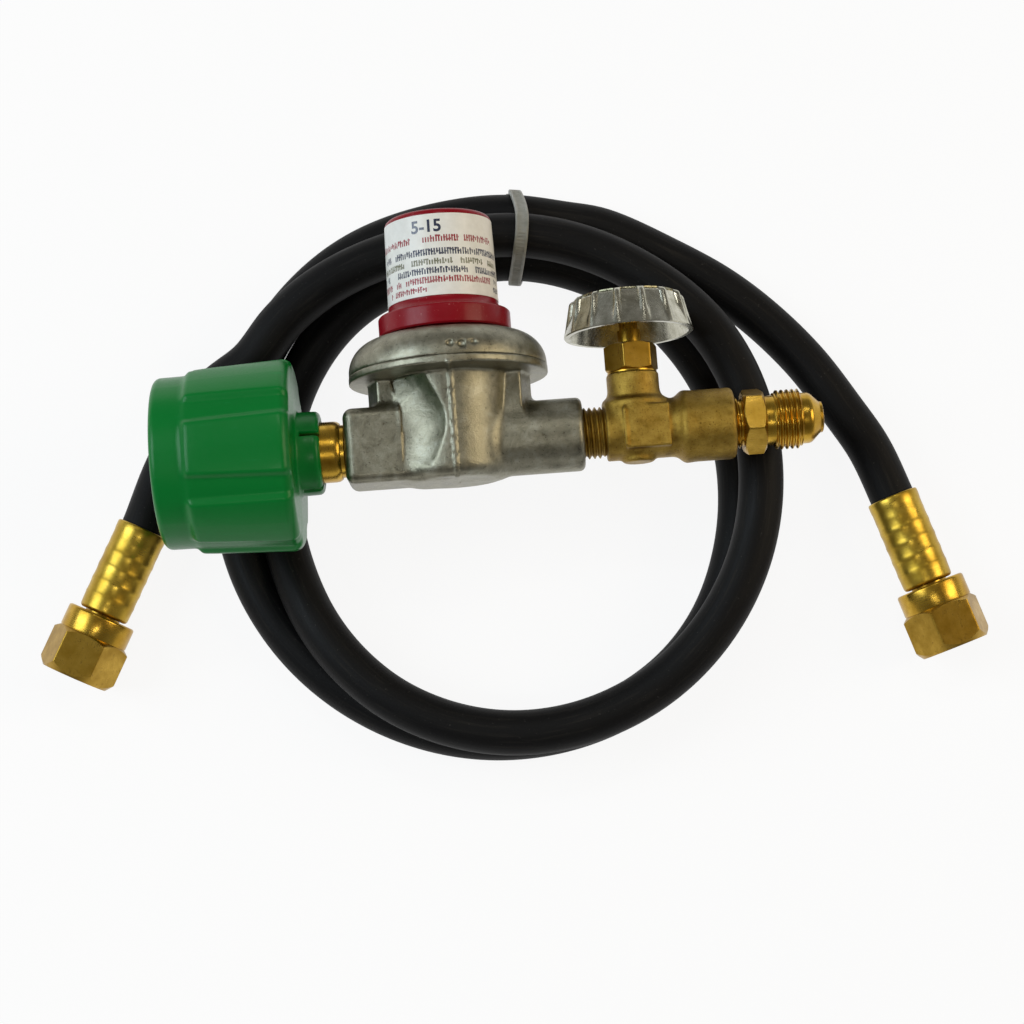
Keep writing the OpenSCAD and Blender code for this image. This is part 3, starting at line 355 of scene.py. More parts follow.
def tie_outline(radius):
    """The closed line that lies this far round the three strands, with the way it faces"""
    found = []
    for a in np.linspace(0, 2 * pi, 361)[:-1]:
        out = Vector((cos(a), sin(a)))
        found.append((max(strands, key=lambda p: p.dot(out)) + radius * out, out))
    line = []
    for (p, out), (q, _) in zip(found, found[1:] + found[:1]):
        straight = max(1, int((q - p).length / 0.25)) if (q - p).length > 0.4 else 1
        line += [(p.lerp(q, n / straight), out) for n in range(straight)]
    return line


nylon, tree, skin = finish("tie_nylon", Roughness=0.42, Subsurface_Weight=0.35,
                           Subsurface_Scale=0.0012, Transmission_Weight=0.25, IOR=1.53)
cloud = grain(tree, 0.35, 3.0)
use(tree, skin,
    Base_Color=steps(tree, cloud, (0.3, tone(146, 146, 136)), (0.7, tone(172, 172, 163))),
    Normal=dents(tree, grain(tree, 3.0, 2.0), 0.01))
skin["Subsurface Radius"].default_value = (1.0, 0.95, 0.85)

line = tie_outline(HOSE / 2 + TIE_ROOM)
length = np.concatenate([[0], np.cumsum([(b[0] - a[0]).length
                                         for a, b in zip(line, line[1:] + line[:1])])])
spots = np.linspace(0, length[-1], int(length[-1] / TIE_GAP) + 1)[:-1]
where = [line[int(np.searchsorted(length, s, "right") - 1) % len(line)] for s in spots]
middle, reach = (strands[1].x + strands[2].x) / 2, (strands[2].x - strands[1].x) / 2 + 6.1
half, flat = TIE_WIDTH / 2, TIE_WIDTH / 2 - 0.75
points = []
for s, (p, out) in zip(spots, where):
    tooth = TOOTH_DEEP if (s / TOOTH_PITCH) % 1 < 0.5 else 0.0
    off = (p.x - middle) / reach
    bow = 1.05 + 0.85 * off - 2.0 * max(0.0, 1 - off**2)
    for across_band, up in ((-half, 0.15), (-half + 0.15, 0), (half - 0.15, 0), (half, 0.15),
                            (half, TIE_THICK - 0.25), (half - 0.25, TIE_THICK),
                            (flat, TIE_THICK), (flat - 0.1, TIE_THICK - tooth),
                            (-flat + 0.1, TIE_THICK - tooth), (-flat, TIE_THICK),
                            (-half + 0.25, TIE_THICK), (-half, TIE_THICK - 0.25)):
        q = p + up * out
        points.append((q.x, q.y, across_band + bow))
faces = grid_faces(len(spots), 12)
faces += [[(len(spots) - 1) * 12 + j, (len(spots) - 1) * 12 + (j + 1) % 12, (j + 1) % 12, j]
          for j in range(12)]


def lifted(made):
    """Points and faces of a bmesh, which is then let go"""
    made.verts.index_update()
    result = [tuple(v.co) for v in made.verts], [[v.index for v in f.verts] for f in made.faces]
    made.free()
    return result


def block(low, high, edge):
    """Points and faces of a box with rounded edges"""
    made = bmesh.new()
    bmesh.ops.create_cube(made, size=1)
    for v in made.verts:
        v.co = Vector([lo if c < 0 else hi for c, lo, hi in zip(v.co, low, high)])
    bmesh.ops.bevel(made, geom=made.edges[:], offset=edge, segments=3, profile=0.5,
                    affect="EDGES")
    return lifted(made)


foot = strands[2].x + HOSE / 2
more, skins = block((foot - 1.2, 0.35, -0.8), (foot + 1.6, 3.4, 4.6), 0.5)
faces += [[v + len(points) for v in face] for face in skins]
points += more
turn = radians(tie_at)
# Points are along the coil's radius, up, and along the strands
cross = Matrix(((sin(turn), 0, -cos(turn), coil_centre[0] * MM),
                (cos(turn), 0, sin(turn), coil_centre[1] * MM),
                (0, 1, 0, 0), (0, 0, 0, 1)))
tie = piece("cable_tie_band", points, faces, nylon, cross)
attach(tie, "kit")
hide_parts("cable_tie")


# ---- The hose's end fittings --------------------------------------------------------------------
# At each end a brass ferrule is crimped onto the hose over a barbed stem, in four soft bands.
# A forged flare nut, 3/4 inch across its flats, turns freely on the stem's flared head.

FERRULE, FERRULE_LENGTH, NUT_FLATS = 14.2, 26.0, 19.05
COLLAR_FROM, HEX_FROM, NUT_END = 26.4, 32.6, 44.8
# Pitch, root and crest of a thread with 18 turns to the inch: 5/8 inch flare, then 1/4 inch pipe
FLARE_THREAD = (1.411, 7.2, 7.94)
PIPE_THREAD = (1.411, 6.05, 6.85)


def at(mouth, turn):
    """Stands a piece turned round its own Z axis at a ferrule's mouth, along the hose"""
    out = Vector((cos(turn), sin(turn), 0))
    made = Matrix((Vector((0, 0, -1)), Vector((-out.y, out.x, 0)), out)).transposed().to_4x4()
    made.translation = mouth * MM
    return made


def turned(name, outline, paint, place, angles, sharp, zones=None):
    """A turned piece. Its outline holds radius and place along the axis, each a number or a
    function of the angle, from the near end out and round, and back down the bore"""
    if isinstance(angles, int):
        angles = np.linspace(0, 2 * pi, angles + 1)[:-1]
    points = []
    for r, s in outline:
        for a in angles:
            radius = r(a) if callable(r) else r
            points.append((radius * cos(a), radius * sin(a), s(a) if callable(s) else s))
    m, last = len(angles), (len(outline) - 1) * len(angles)
    faces = grid_faces(len(outline), m)
    faces += [[last + j, last + (j + 1) % m, (j + 1) % m, j] for j in range(m)]
    made = piece(name, points, faces, paint, place, sharp)
    if zones:
        for face in made.data.polygons:
            face.material_index = zones(face.center / MM)
    return made


def angles_round(count, first, offsets):
    """Where a ring has its points: the same offsets, in degrees, to each side of every lobe"""
    return sorted(radians((first + 360 / count * k + side * d) % 360)
                  for k in range(count) for d in offsets for side in (-1, 1))


def hexagon(flats, turn, soft):
    """The radius of a hexagon at each angle, a corner at turn, corners rounded by soft"""
    corner = (flats / 2 - soft) / cos(pi / 6)
    edge = atan2(soft * sin(pi / 6), corner + soft * cos(pi / 6))

    def radius(angle):
        off = (angle - radians(turn)) % (pi / 3)
        off = min(off, pi / 3 - off)
        if off < edge:
            return corner * cos(off) + sqrt(max(0, soft**2 - (corner * sin(off))**2))
        return flats / 2 / cos(pi / 6 - off)
    radius.angles = angles_round(6, turn, (0.0001, degrees(edge) / 2, degrees(edge), 3.5, 6, 9,
                                           12.5, 16.5, 21, 25.5, 29.999))
    return radius


def chamfer(flank, start, place, slope):
    """Where a nut's turned chamfer meets its flats, measured along the axis from its end"""
    return lambda a: place + slope * max(0.0, flank(a) - start)


def corner(r, s, size, first, last, count=4):
    """Outline points of a rounded edge round a centre, from one angle to another in degrees"""
    return [(r + size * cos(radians(first + (last - first) * n / count)),
             s + size * sin(radians(first + (last - first) * n / count)))
            for n in range(count + 1)]


def thread(start, turns, pitch, root, crest, fade=(0.6, 0.6), land=0.16):
    """Outline points of a screw thread: a true helix that runs out at both ends"""
    found = []
    count = int(turns * 12)
    for n in range(count + 1):
        s = start + turns * pitch * n / count

        def radius(angle, s=s):
            share = ((s - start) / pitch - angle / (2 * pi)) % 1
            wave = min(1.0, max(0.0, (abs(share - 0.5) - land / 2) / (0.5 - land)))
            near = min(1.0, (s - start) / pitch / fade[0],
                       (start + turns * pitch - s) / pitch / fade[1])
            return root + (crest - root) * (1 - wave) * max(0.0, near)
        found.append((radius, s))
    return found


def brass(name, light, dark, rough, marks, depth, wear=0.0):
    """Bare brass: marks say how its tool marks run, (1, 1, 9) for rings, (9, 9, 1) for a bar's"""
    paint, tree, skin = finish(name, metallic=1.0)
    marked = grain(tree, 1.0, 4.0, 0.65, stretch=marks)
    cloud = grain(tree, 0.16, 4.0, 0.6)
    spots = steps(tree, grain(tree, 0.9, 3.0, 0.7), (0.6, 0), (0.74, 1))
    metal = between(tree, steps(tree, cloud, (0.32, 0), (0.68, 1)), light, dark)
    metal = between(tree, steps(tree, marked, (0.35, 0), (0.75, 0.35)), metal, dark)
    tarnish = maths(tree, "MULTIPLY", spots, wear)
    use(tree, skin, Base_Color=between(tree, tarnish, metal, tone(92, 66, 30)),
        Roughness=steps(tree, maths(tree, "ADD", cloud, marked), (0.7, rough),
                        (1.3, rough + 0.12)),
        Normal=dents(tree, marked, depth))
    return paint


ferrule_brass = brass("ferrule_brass", tone(208, 176, 72), tone(170, 136, 44), 0.24,
                      (0.5, 0.5, 3), 0.012)
flat_brass = brass("bar_brass", tone(192, 156, 68), tone(150, 116, 38), 0.22,
                   (4, 4, 0.35), 0.012, 0.5)
turned_brass = brass("turned_brass", tone(208, 170, 68), tone(166, 126, 38), 0.18,
                     (0.4, 0.4, 7), 0.010, 0.25)

CRIMPS, CRIMP_FIRST, CRIMP_PITCH, CRIMP_BAND, JAWS = 4, 5.2, 4.2, 3.4, 8


def ferrule_outline():
    """Four shallow bands pressed in by eight jaws, with round lands standing between them"""
    outer = FERRULE / 2

    def pressed(depth):
        return lambda a: outer - 0.04 - depth * (0.9 + 0.1 * cos(JAWS * a))
    found = [(outer - 0.95, 0.9), *corner(outer - 0.5, 0.5, 0.5, -120, 0, 4), (outer, 1.9),
             (outer - 0.05, 2.6), (outer - 0.12, 3.2), (outer - 0.13, CRIMP_FIRST - 0.35)]
    for i in range(CRIMPS):
        s = CRIMP_FIRST + i * CRIMP_PITCH
        found += [(outer - 0.02, s - 0.05)] * (i > 0)
        found += [(pressed(0.04), s + 0.25), (pressed(0.09), s + 0.8), (pressed(0.12), s + 1.7),
                  (pressed(0.09), s + 2.6), (pressed(0.04), s + CRIMP_BAND - 0.25),
                  (outer - 0.02, s + CRIMP_BAND + 0.05)]
    far = FERRULE_LENGTH
    return found + [(outer - 0.12, 22.4), (outer - 0.15, far - 2.4),
                    *corner(outer - 1.2, far - 1.0, 1.0, 0, 90, 4), (3.65, far),
                    (3.65, far - 2), (HOSE / 2 + 0.02, far - 2), (HOSE / 2 + 0.02, 0.9)]


def swivel_outline(turn):
    """The nut's hexagon, and its outline: round collar, hexagon, and the thread in its mouth"""
    flank = hexagon(NUT_FLATS, turn, 0.4)
    near, mouth = NUT_FLATS / 2 - 0.15, NUT_FLATS / 2 - 0.35
    return flank, [
        (5.3, COLLAR_FROM), (8.2, COLLAR_FROM),
        *corner(8.8, COLLAR_FROM + 0.7, 0.7, -90, 0, 4), (9.5, HEX_FROM - 0.3),
        (9.35, HEX_FROM), (near, HEX_FROM + 0.02),
        (flank, chamfer(flank, near, HEX_FROM + 0.15, 0.7)),
        (flank, chamfer(flank, mouth, NUT_END - 0.1, -1.2)),
        (mouth, NUT_END - 0.02), (8.25, NUT_END), (7.35, NUT_END - 0.9),
        *reversed(thread(36.0, 5.5, *FLARE_THREAD)),
        (7.6, 35.6), (7.6, 33.8), (5.3, 31.5)]


for end, mouth, turn, nut_turn in (("left", left_mouth, left_turn, 28),
                                   ("right", right_mouth, right_turn, 26)):
    place = at(mouth, turn)
    ferrule = turned(f"crimped_ferrule_{end}", ferrule_outline(), ferrule_brass, place,
                     angles=96, sharp=50)
    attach(ferrule, "kit")
    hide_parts(f"ferrule_{end}")
    flank, outline = swivel_outline(nut_turn)
    nut = turned(f"flare_nut_{end}", outline, [turned_brass, flat_brass], place,
                 angles=flank.angles, sharp=30,
                 zones=lambda c: 1 if c.z > HEX_FROM and c.xy.length > 8.6 else 0)
    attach(nut, f"swivel_{end}")
    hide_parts(f"swivel_nut_{end}")
    stem = nodes[f"hose_stem_{end}"]
    stem.data.materials.clear()
    stem.data.materials.append(turned_brass)


# ---- The tank nut -------------------------------------------------------------------------------
# A green hand nut moulded in one piece: smooth mouth ring, seven broad lobes that widen towards
# the back, and a slotted collar. It turns on the brass nipple, held off it by a dark bushing.

# Where the cap's axis crosses the run of fittings; lengthwise, a piece's own Z follows that run
cap_x, axis_y, axis_z = -13.25, -4.0, 38.5
lengthwise = Matrix(((0, 0, 1, cap_x * MM), (0, 1, 0, axis_y * MM),
                     (-1, 0, 0, axis_z * MM), (0, 0, 0, 1)))
# Places along the run, from the nut's open face to the end of its collar
FACE, GRIP, GRIP_END, NUT_REAR = -77.5, -68.2, -40.6, -34.7
LOBES, FIRST_LOBE, VALLEY = 7, 180 / 7, 1.15
PITCH = 360 / LOBES


def ease(t):
    """A soft step from 0 to 1"""
    t = min(1.0, max(0.0, t))
    return t * t * (3 - 2 * t)


def grip(s, shrink=0.0):
    """Radius of the lobed grip at a place along it"""
    t = (s - GRIP) / (GRIP_END - GRIP)
    crest = 24.7 + 1.2 * t - shrink
    half = 16.8 + 1.6 * t

    def radius(a):
        off = (degrees(a) - FIRST_LOBE) % PITCH
        off = min(off, PITCH - off)
        low = ease((off - half + 2.1) / 5.4)
        bulge = 0.32 * (1 - min(1.0, off / half) ** 2)
        return crest - bulge * (1 - low) - low * VALLEY
    return radius


lobe_angles = angles_round(LOBES, FIRST_LOBE, (0.001, 5, 10, 13, 14.2, 15.4, 16.4, 17.4, 18.4,
                                               19.4, 20.4, 21.4, 23, 25.7))
rear = GRIP_END - 0.5
outline = [(18.6, FACE), *corner(21.0, FACE + 1.8, 1.8, -90, 0, 6), (22.88, GRIP - 2.2)]
outline += [(lambda a, share=share: 22.9 + share * (grip(GRIP)(a) - 22.9), GRIP + off)
            for off, share in ((-1.7, 0.02), (-1.2, 0.1), (-0.75, 0.24), (-0.35, 0.44), (0.0, 0.66),
                               (0.35, 0.83), (0.8, 0.95), (1.4, 1.0))]
outline += [(grip(s), s) for s in np.linspace(GRIP + 4, rear - 6, 6)]
outline += [(grip(rear - 2.8 + 2.8 * sin(t), 2.8 * (1 - cos(t))), rear - 2.8 + 2.8 * sin(t))
            for t in np.linspace(0, pi / 2, 10)]
outline += [(12.4, rear + 0.02), (11.6, rear + 0.2), (11.15, rear + 0.8),
            (11.1, NUT_REAR - 2.0), *corner(9.6, NUT_REAR - 1.5, 1.5, 0, 80, 5)[1:],
            (8.9, NUT_REAR), (8.42, NUT_REAR - 0.5), (8.4, -43.6), (16.3, -43.6), (16.3, -56.7),
            (16.9, -57.6), *reversed(thread(-74.4, 4, 4.2, 16.9, 15.7, fade=(0.5, 0.5), land=0.3)),
            (16.9, FACE + 1.4), (18.0, FACE + 0.25)]

green, tree, skin = finish("nut_green", Specular_IOR_Level=0.22, Coat_Weight=0.05,
                           Coat_Roughness=0.18)
flow = grain(tree, 1.0, 2.0, stretch=(0.05, 0.05, 0.02))
peel = grain(tree, 1.4, 3.0)
rub = steps(tree, grain(tree, 1.0, 5.0, 0.7, stretch=(0.5, 0.5, 0.12)), (0.62, 0), (0.8, 1))
moulded = between(tree, flow, tone(0, 110, 40), tone(0, 120, 46))
use(tree, skin, Base_Color=between(tree, rub, moulded, tone(8, 126, 58)),
    Roughness=steps(tree, maths(tree, "ADD", peel, rub), (0.3, 0.3), (1.2, 0.44)),
    Normal=dents(tree, peel, 0.02, dents(tree, flow, 0.25)))

nut = turned("tank_hand_nut", outline, green, lengthwise, angles=lobe_angles, sharp=60)


def carve(made, tools):
    """Cuts tools, each points and faces in millimetres, out of a piece, in its own axes"""
    points, faces = [], []
    for more, skins in tools:
        faces += [[v + len(points) for v in face] for face in skins]
        points += [tuple(p) for p in more]
    cutter = piece("cutter", points, faces, [], made.matrix_world.copy(), sharp=180)
    cut = made.modifiers.new("cut", "BOOLEAN")
    cut.operation, cut.object, cut.solver = "DIFFERENCE", cutter, "EXACT"
    bpy.context.view_layer.update()
    result = bpy.data.meshes.new_from_object(
        made.evaluated_get(bpy.context.evaluated_depsgraph_get()))
    made.modifiers.clear()
    old = made.data
    made.data = result
    bpy.data.meshes.remove(old)
    bpy.data.objects.remove(cutter)


slots = []
for k in range(4):
    more, skins = block((7.0, -0.75, NUT_REAR - 5.2), (12.5, 0.75, NUT_REAR + 1), 0.2)
    twist = Matrix.Rotation(radians(90 * k + 69.7), 3, "Z")
    slots.append(([twist @ Vector(p) for p in more], skins))
carve(nut, slots)
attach(nut, "tank_nut")
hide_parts("inlet_nut")


def plain_finish(name, weave, darker, lighter, smooth, matt, depth, start=0.3, **constants):
    """A finish of one grain, whose scale, detail and roughness weave gives, for hidden pieces"""
    paint, tree, skin = finish(name, **constants)
    mottle = grain(tree, *weave)
    use(tree, skin, Base_Color=steps(tree, mottle, (start, tone(*darker)), (0.7, tone(*lighter))),
        Roughness=steps(tree, mottle, (0.3, smooth), (0.7, matt)),
        Normal=dents(tree, mottle, depth))
    return paint


def dress(paint, *names):
    """Gives pieces that keep the shape of their solid their finish"""
    for name in names:
        mesh = nodes[name].data
        mesh.materials.clear()
        mesh.materials.append(paint)
        mesh.shade_smooth()
        mesh.set_sharp_from_angle(angle=radians(35))


phenolic = plain_finish("bushing_phenolic", (0.8, 4.0, 0.7), (30, 29, 28), (62, 58, 52), 0.5, 0.7,
                        0.03, start=0.35, Specular_IOR_Level=0.4)
dress(phenolic, "thermal_bushing")


# ---- The inlet nipple and its flow check --------------------------------------------------------
# A turned brass nipple, its rounded nose inside the nut and its pipe thread in the regulator.
# In its nose a small brass poppet stands off its seat on a wire spring, behind a steel clip.

NECK = 8.1
nipple = turned("inlet_nipple_turned", [
    (4.3, -74.15), (4.9, -74.2), *corner(4.7, -72.7, 1.5, -80, 0, 5), (6.2, -53), (7.5, -50.1),
    (7.5, -49.8), (12.2, -49.8), (12.5, -49.5), (12.5, -47.1), (12.2, -46.8), (NECK, -46.8),
    (NECK, -31.3), (NECK - 0.15, -30.4), (NECK - 0.6, -29.7), (7.05, -29.6), (7.0, -28.7),
    (6.1, -28.5), *thread(-28.4, 7.5, *PIPE_THREAD, fade=(0.7, 0.5)), (2.4, -17.8), (2.4, -51.8),
    (4.3, -53.8)], turned_brass, lengthwise, angles=96, sharp=28)
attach(nipple, "kit")
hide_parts("inlet_nipple")

spring_steel = plain_finish("spring_steel", (1.6, 4.0, 0.6), (120, 120, 122), (178, 178, 180),
                            0.24, 0.4, 0.01, metallic=1.0)
dress(spring_steel, "flow_check_spring", "flow_check_clip")
dress(turned_brass, "flow_check_poppet")


# ---- The regulator body -------------------------------------------------------------------------
# A die-cast zinc body: bowl, round flange, two webs and two threaded ports, one boxy, one round.
# A hollow is scooped out of the bowl, and a raised line shows where the die parted. Its skin is
# dull and mottled.


def soft_join(a, b, reach):
    """Two forms joined, with a fillet of about this reach where they meet"""
    h = np.clip(0.5 + 0.5 * (b - a) / reach, 0, 1)
    return b * (1 - h) + a * h - reach * h * (1 - h)


def soft_cut(a, b, reach):
    """The second form cut out of the first, its edge rounded"""
    return -soft_join(-a, b, reach)


def rod(r, low, high, across_by, along, edge=0.0):
    """Distance from a round bar: how far across it a point is, how far along it"""
    d = across_by - (r - edge)
    e = np.abs(along - (low + high) / 2) - (high - low) / 2 + edge
    return np.hypot(np.maximum(d, 0), np.maximum(e, 0)) + np.minimum(np.maximum(d, e), 0) - edge


def bar(x, y, z, half, edge):
    """Distance from a box with rounded edges, centred where x, y and z are nought"""
    d = np.stack([np.abs(v) - h + edge for v, h in zip((x, y, z), half)])
    return np.linalg.norm(np.maximum(d, 0), axis=0) + np.minimum(d.max(0), 0) - edge


def cast(name, form, low, high, step, paint, place):
    """The skin of a casting: form gives the distance of points from its surface. Each cell of
    a grid that the surface crosses gets one point, which then slides onto the surface"""
    axes = [np.arange(a, b + step, step) for a, b in zip(low, high)]
    n = [len(a) for a in axes]
    x, y, z = np.meshgrid(*axes, indexing="ij")
    field = form(x.ravel(), y.ravel(), z.ravel()).reshape(n)
    inside = field < 0
    corners = np.array([(i, j, k) for i in (0, 1) for j in (0, 1) for k in (0, 1)])
    cells = np.zeros([k - 1 for k in n], np.int8)
    for i, j, k in corners:
        cells += inside[i:n[0] - 1 + i, j:n[1] - 1 + j, k:n[2] - 1 + k]
    mixed = (cells > 0) & (cells < 8)
    at_cell = np.argwhere(mixed)
    number = np.full(cells.shape, -1, np.int64)
    number[mixed] = np.arange(len(at_cell))
    total, hits = np.zeros((len(at_cell), 3)), np.zeros(len(at_cell))
    for a in corners:
        for axis in range(3):
            if a[axis]:
                continue
            b = a.copy()
            b[axis] = 1
            fa = field[tuple((at_cell + a).T)]
            fb = field[tuple((at_cell + b).T)]
            crosses = (fa < 0) != (fb < 0)
            t = np.where(crosses, fa / np.where(fa == fb, 1, fa - fb), 0)
            total += (a + t[:, None] * (b - a)) * crosses[:, None]
            hits += crosses
    points = np.array(low) + step * (at_cell + total / hits[:, None])
    for _ in range(4):
        f = form(*points.T)
        slope = np.stack([form(*(points + 0.02 * e).T) - form(*(points - 0.02 * e).T)
                          for e in np.eye(3)], 1) / 0.04
        size = np.maximum((slope**2).sum(1), 0.3)
        points -= np.clip(f / size, -step / 2, step / 2)[:, None] * slope
    faces = []
    for axis in range(3):
        one, two = [a for a in range(3) if a != axis]
        first = [slice(1, -1)] * 3
        first[axis] = slice(0, -1)
        after = list(first)
        after[axis] = slice(1, None)
        here, there = inside[tuple(first)], inside[tuple(after)]
        spots = np.argwhere(here != there)
        spots[:, one] += 1
        spots[:, two] += 1
        quad = []
        for p, q in ((1, 1), (0, 1), (0, 0), (1, 0)):
            c = spots.copy()
            c[:, one] -= p
            c[:, two] -= q
            quad.append(number[tuple(c.T)])
        faces.append(np.stack(quad, 1))
    return piece(name, points, np.concatenate(faces).tolist(), paint, place, sharp=60)


def beside(x, y, z, a, b):
    """How far points are from the straight line between two places"""
    along = [q - p for p, q in zip(a, b)]
    off = [c - p for c, p in zip((x, y, z), a)]
    t = np.clip(sum(m * n for m, n in zip(off, along)) / sum(n * n for n in along), 0, 1)
    return np.sqrt(sum((m - t * n)**2 for m, n in zip(off, along)))


def regulator_form(u, v, w):
    """u runs along the ports, v up to the cap, w towards the eye"""
    around = np.hypot(u, w)
    bowl_r = 14.3 + (17 - 14.3) * np.clip((v + 8) / 25, 0, 1)
    bowl = rod(14.3, -10.4, 22, around - (bowl_r - 14.3), v, 3.2)
    web = bar(u, v - 6.5, w, (21.7, 10.5, 8.0), 0.8)
    web = np.maximum(web, (np.abs(u) - 21.7 + 0.36 * np.abs(w)) * 0.94)
    form = soft_join(bowl, web, 0.5)
    inlet = bar(u + 14.2, v, w, (14.2, 10.0, 10.0), 2.6)
    outlet = rod(9.8, 0, 34.6, np.hypot(v, w), u, 1.6)
    form = soft_join(form, inlet, 1.8)
    form = soft_join(form, outlet, 1.8)
    flange = rod(26.5, 17, 19.1, around, v, 0.35)
    form = np.maximum(soft_join(form, flange, 1.0), v - 19.1)
    # The scooped hollow on the bowl's left front
    places = ((-24.3, 19.0, 20.0), (-18.2, 11.0, 24.6), (-13.6, 3.0, 25.5), (-14.8, -2.5, 25.6))
    scoop = np.min([beside(u, v, w, a, b) for a, b in zip(places, places[1:])], axis=0) - 16.0
    scoop = np.maximum(scoop, -13.0 - 0.25 * np.maximum(v - 8, 0) - u)
    form = np.where(v < 16.6, soft_cut(form, scoop, 0.35), form)
    # The line where the die parted
    ridge = np.maximum(np.maximum(np.abs(u - 0.7) - 0.6, -w), form - 0.4)
    form = soft_join(form, np.maximum(ridge, v - 17.5), 0.2)
    # Bored and tapped from both ports, with the diaphragm's chamber on top
    for r, low, high in ((6.9, -30, -15.3), (6.9, 22.6, 36), (3, -16, 0), (3, 13, 24)):
        form = np.maximum(form, -rod(r, low, high, np.hypot(v, w), u))
    for r, low, high in ((4.5, -8, 7.2), (10, 7, 12.4), (12.6, 12, 17.2), (16, 17, 23)):
        form = np.maximum(form, -rod(r, low, high, around, v))
    return form


zinc, tree, skin = finish("die_cast_zinc", metallic=1.0)
mottle = grain(tree, 0.22, 6.0, 0.68, 0.4)
pits = steps(tree, grain(tree, 1.35, 3.0, 0.75), (0.3, 1), (0.39, 0))
sand = grain(tree, 2.4, 4.0, 0.7)
metal = steps(tree, mottle, (0.3, tone(116, 113, 98)), (0.5, tone(144, 141, 123)),
              (0.72, tone(170, 168, 152)))
use(tree, skin, Base_Color=between(tree, pits, metal, tone(92, 86, 74)),
    Roughness=steps(tree, maths(tree, "ADD", mottle, sand), (0.75, 0.27), (1.25, 0.42)),
    Normal=dents(tree, sand, 0.06, dents(tree, mottle, 0.18)))
standing = Matrix(((1, 0, 0, cap_x * MM), (0, 1, 0, axis_y * MM), (0, 0, 1, axis_z * MM),
                   (0, 0, 0, 1)))
body = cast("regulator_casting", regulator_form, (-30.3, -11.4, -27.4), (35.4, 20.2, 27.4),
            0.45, zinc, standing)
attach(body, "kit")
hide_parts("regulator_body")

rubbery = plain_finish("diaphragm_rubber", (1.2, 4.0), (22, 22, 22), (40, 39, 37), 0.6, 0.75, 0.03,
                       Specular_IOR_Level=0.3)
dress(rubbery, "diaphragm", "regulator_poppet")
dress(turned_brass, "valve_seat")
dress(spring_steel, "poppet_spring", "main_spring", "diaphragm_plate", "spring_seat")


# ---- The bonnet ---------------------------------------------------------------------------------
# A second zinc casting staked down over the diaphragm, with a rounded shoulder and a threaded
# tower that holds the spring. Three round punch marks sit side by side on the front of its rim.

# Capwise, a piece's own Z runs up the cap
capwise = Matrix(((1, 0, 0, cap_x * MM), (0, 0, 1, axis_y * MM),
                  (0, -1, 0, axis_z * MM), (0, 0, 0, 1)))
bonnet = turned("bonnet_casting", [
    (24.05, 19.1), (26.1, 19.1), (26.3, 19.2), (26.4, 19.45),
    *corner(18.0, 19.8, 8.4, 0, 82, 14), (15.7, 28.8), (15.2, 28.5), (11.1, 28.5),
    *thread(30.0, 17, 1.5, 11.0, 11.7), (11.0, 56.0), (9.6, 56.0), (9.6, 23.3), (15.0, 23.3),
    (15.0, 19.9), (24.05, 19.9)], zinc, capwise, angles=144, sharp=35)
pits = []
for angle, size, up in ((272.9, 1.05, 22.0), (279.6, 1.2, 21.7), (286.4, 0.95, 22.1)):
    ball = bmesh.new()
    bmesh.ops.create_icosphere(ball, subdivisions=3, radius=size)
    place = Vector((26.5 * cos(radians(angle)), 26.5 * sin(radians(angle)), up))
    points, faces = lifted(ball)
    pits.append(([Vector(p) + place for p in points], faces))
carve(bonnet, pits)
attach(bonnet, "kit")
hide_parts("bonnet")


# ---- The adjusting cap and its label ------------------------------------------------------------
# A dark red plastic cap with a wider ring at its foot screws down on the tower. A paper label goes
# round it under clear film: a pressure range in plain numbers, over lines of strokes that spell
# nothing.

cap_red, tree, skin = finish("cap_red", Specular_IOR_Level=0.22, Coat_Weight=0.08,
                             Coat_Roughness=0.15)
peel = grain(tree, 1.8, 3.0)
flow = grain(tree, 0.12, 3.0)
nicks = steps(tree, grain(tree, 1.3, 2.0, 0.8), (0.66, 0), (0.72, 1))
red = between(tree, flow, tone(122, 0, 14), tone(144, 2, 24))
use(tree, skin, Base_Color=between(tree, nicks, red, tone(160, 80, 78)),
    Roughness=steps(tree, peel, (0.3, 0.28), (0.7, 0.42)), Normal=dents(tree, peel, 0.02))
RING, LOW, HIGH, SHEET = 17.65, 14.65, 14.25, 0.15
LOW_END, HIGH_END, COLUMNS = 37.15, 59.0, 145
# The cap is drawn from its open end round the outside to the top, and back down its bore
cap = turned("red_cap", [
    (11.75, 29.1), (17.2, 29.1), (RING, 29.5), (RING, 33.9),
    *corner(RING - 0.7, 33.9, 0.7, 10, 80, 3), (16.2, 34.65), (LOW + 0.95, 35.15),
    (LOW + 0.25, 35.9), (LOW, 36.9), (LOW, 37.15), (HIGH, 59.2),
    *corner(HIGH - 1.4, 59.2, 1.4, 2, 88, 7), (4.0, 60.6), (3.9, 60.2), (0.01, 60.2),
    (0.01, 53.62), (3.9, 53.62), (4.0, 56.6), (11.75, 56.6)], cap_red, capwise, angles=144,
    sharp=35)
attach(cap, "cap")
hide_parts("adjusting_cap")

paper, tree, skin = finish("label_paper", Specular_IOR_Level=0.45, Coat_Weight=0.3,
                           Coat_Roughness=0.12, Roughness=0.55)
flat = add(tree, "SeparateXYZ", {0: add(tree, "TexCoord").outputs["UV"]})
x_mm, y_mm = flat.outputs[0], flat.outputs[1]


def label_radius(s):
    """Radius of the label's face at a place along the cap, which narrows a little upwards"""
    return LOW + SHEET - (LOW - HIGH) * (s - LOW_END) / (HIGH_END - LOW_END)


def within(tree, value, low, high):
    """1 where the value lies between the two, otherwise 0"""
    return maths(tree, "MULTIPLY", maths(tree, "GREATER_THAN", value, low),
                 maths(tree, "LESS_THAN", value, high))


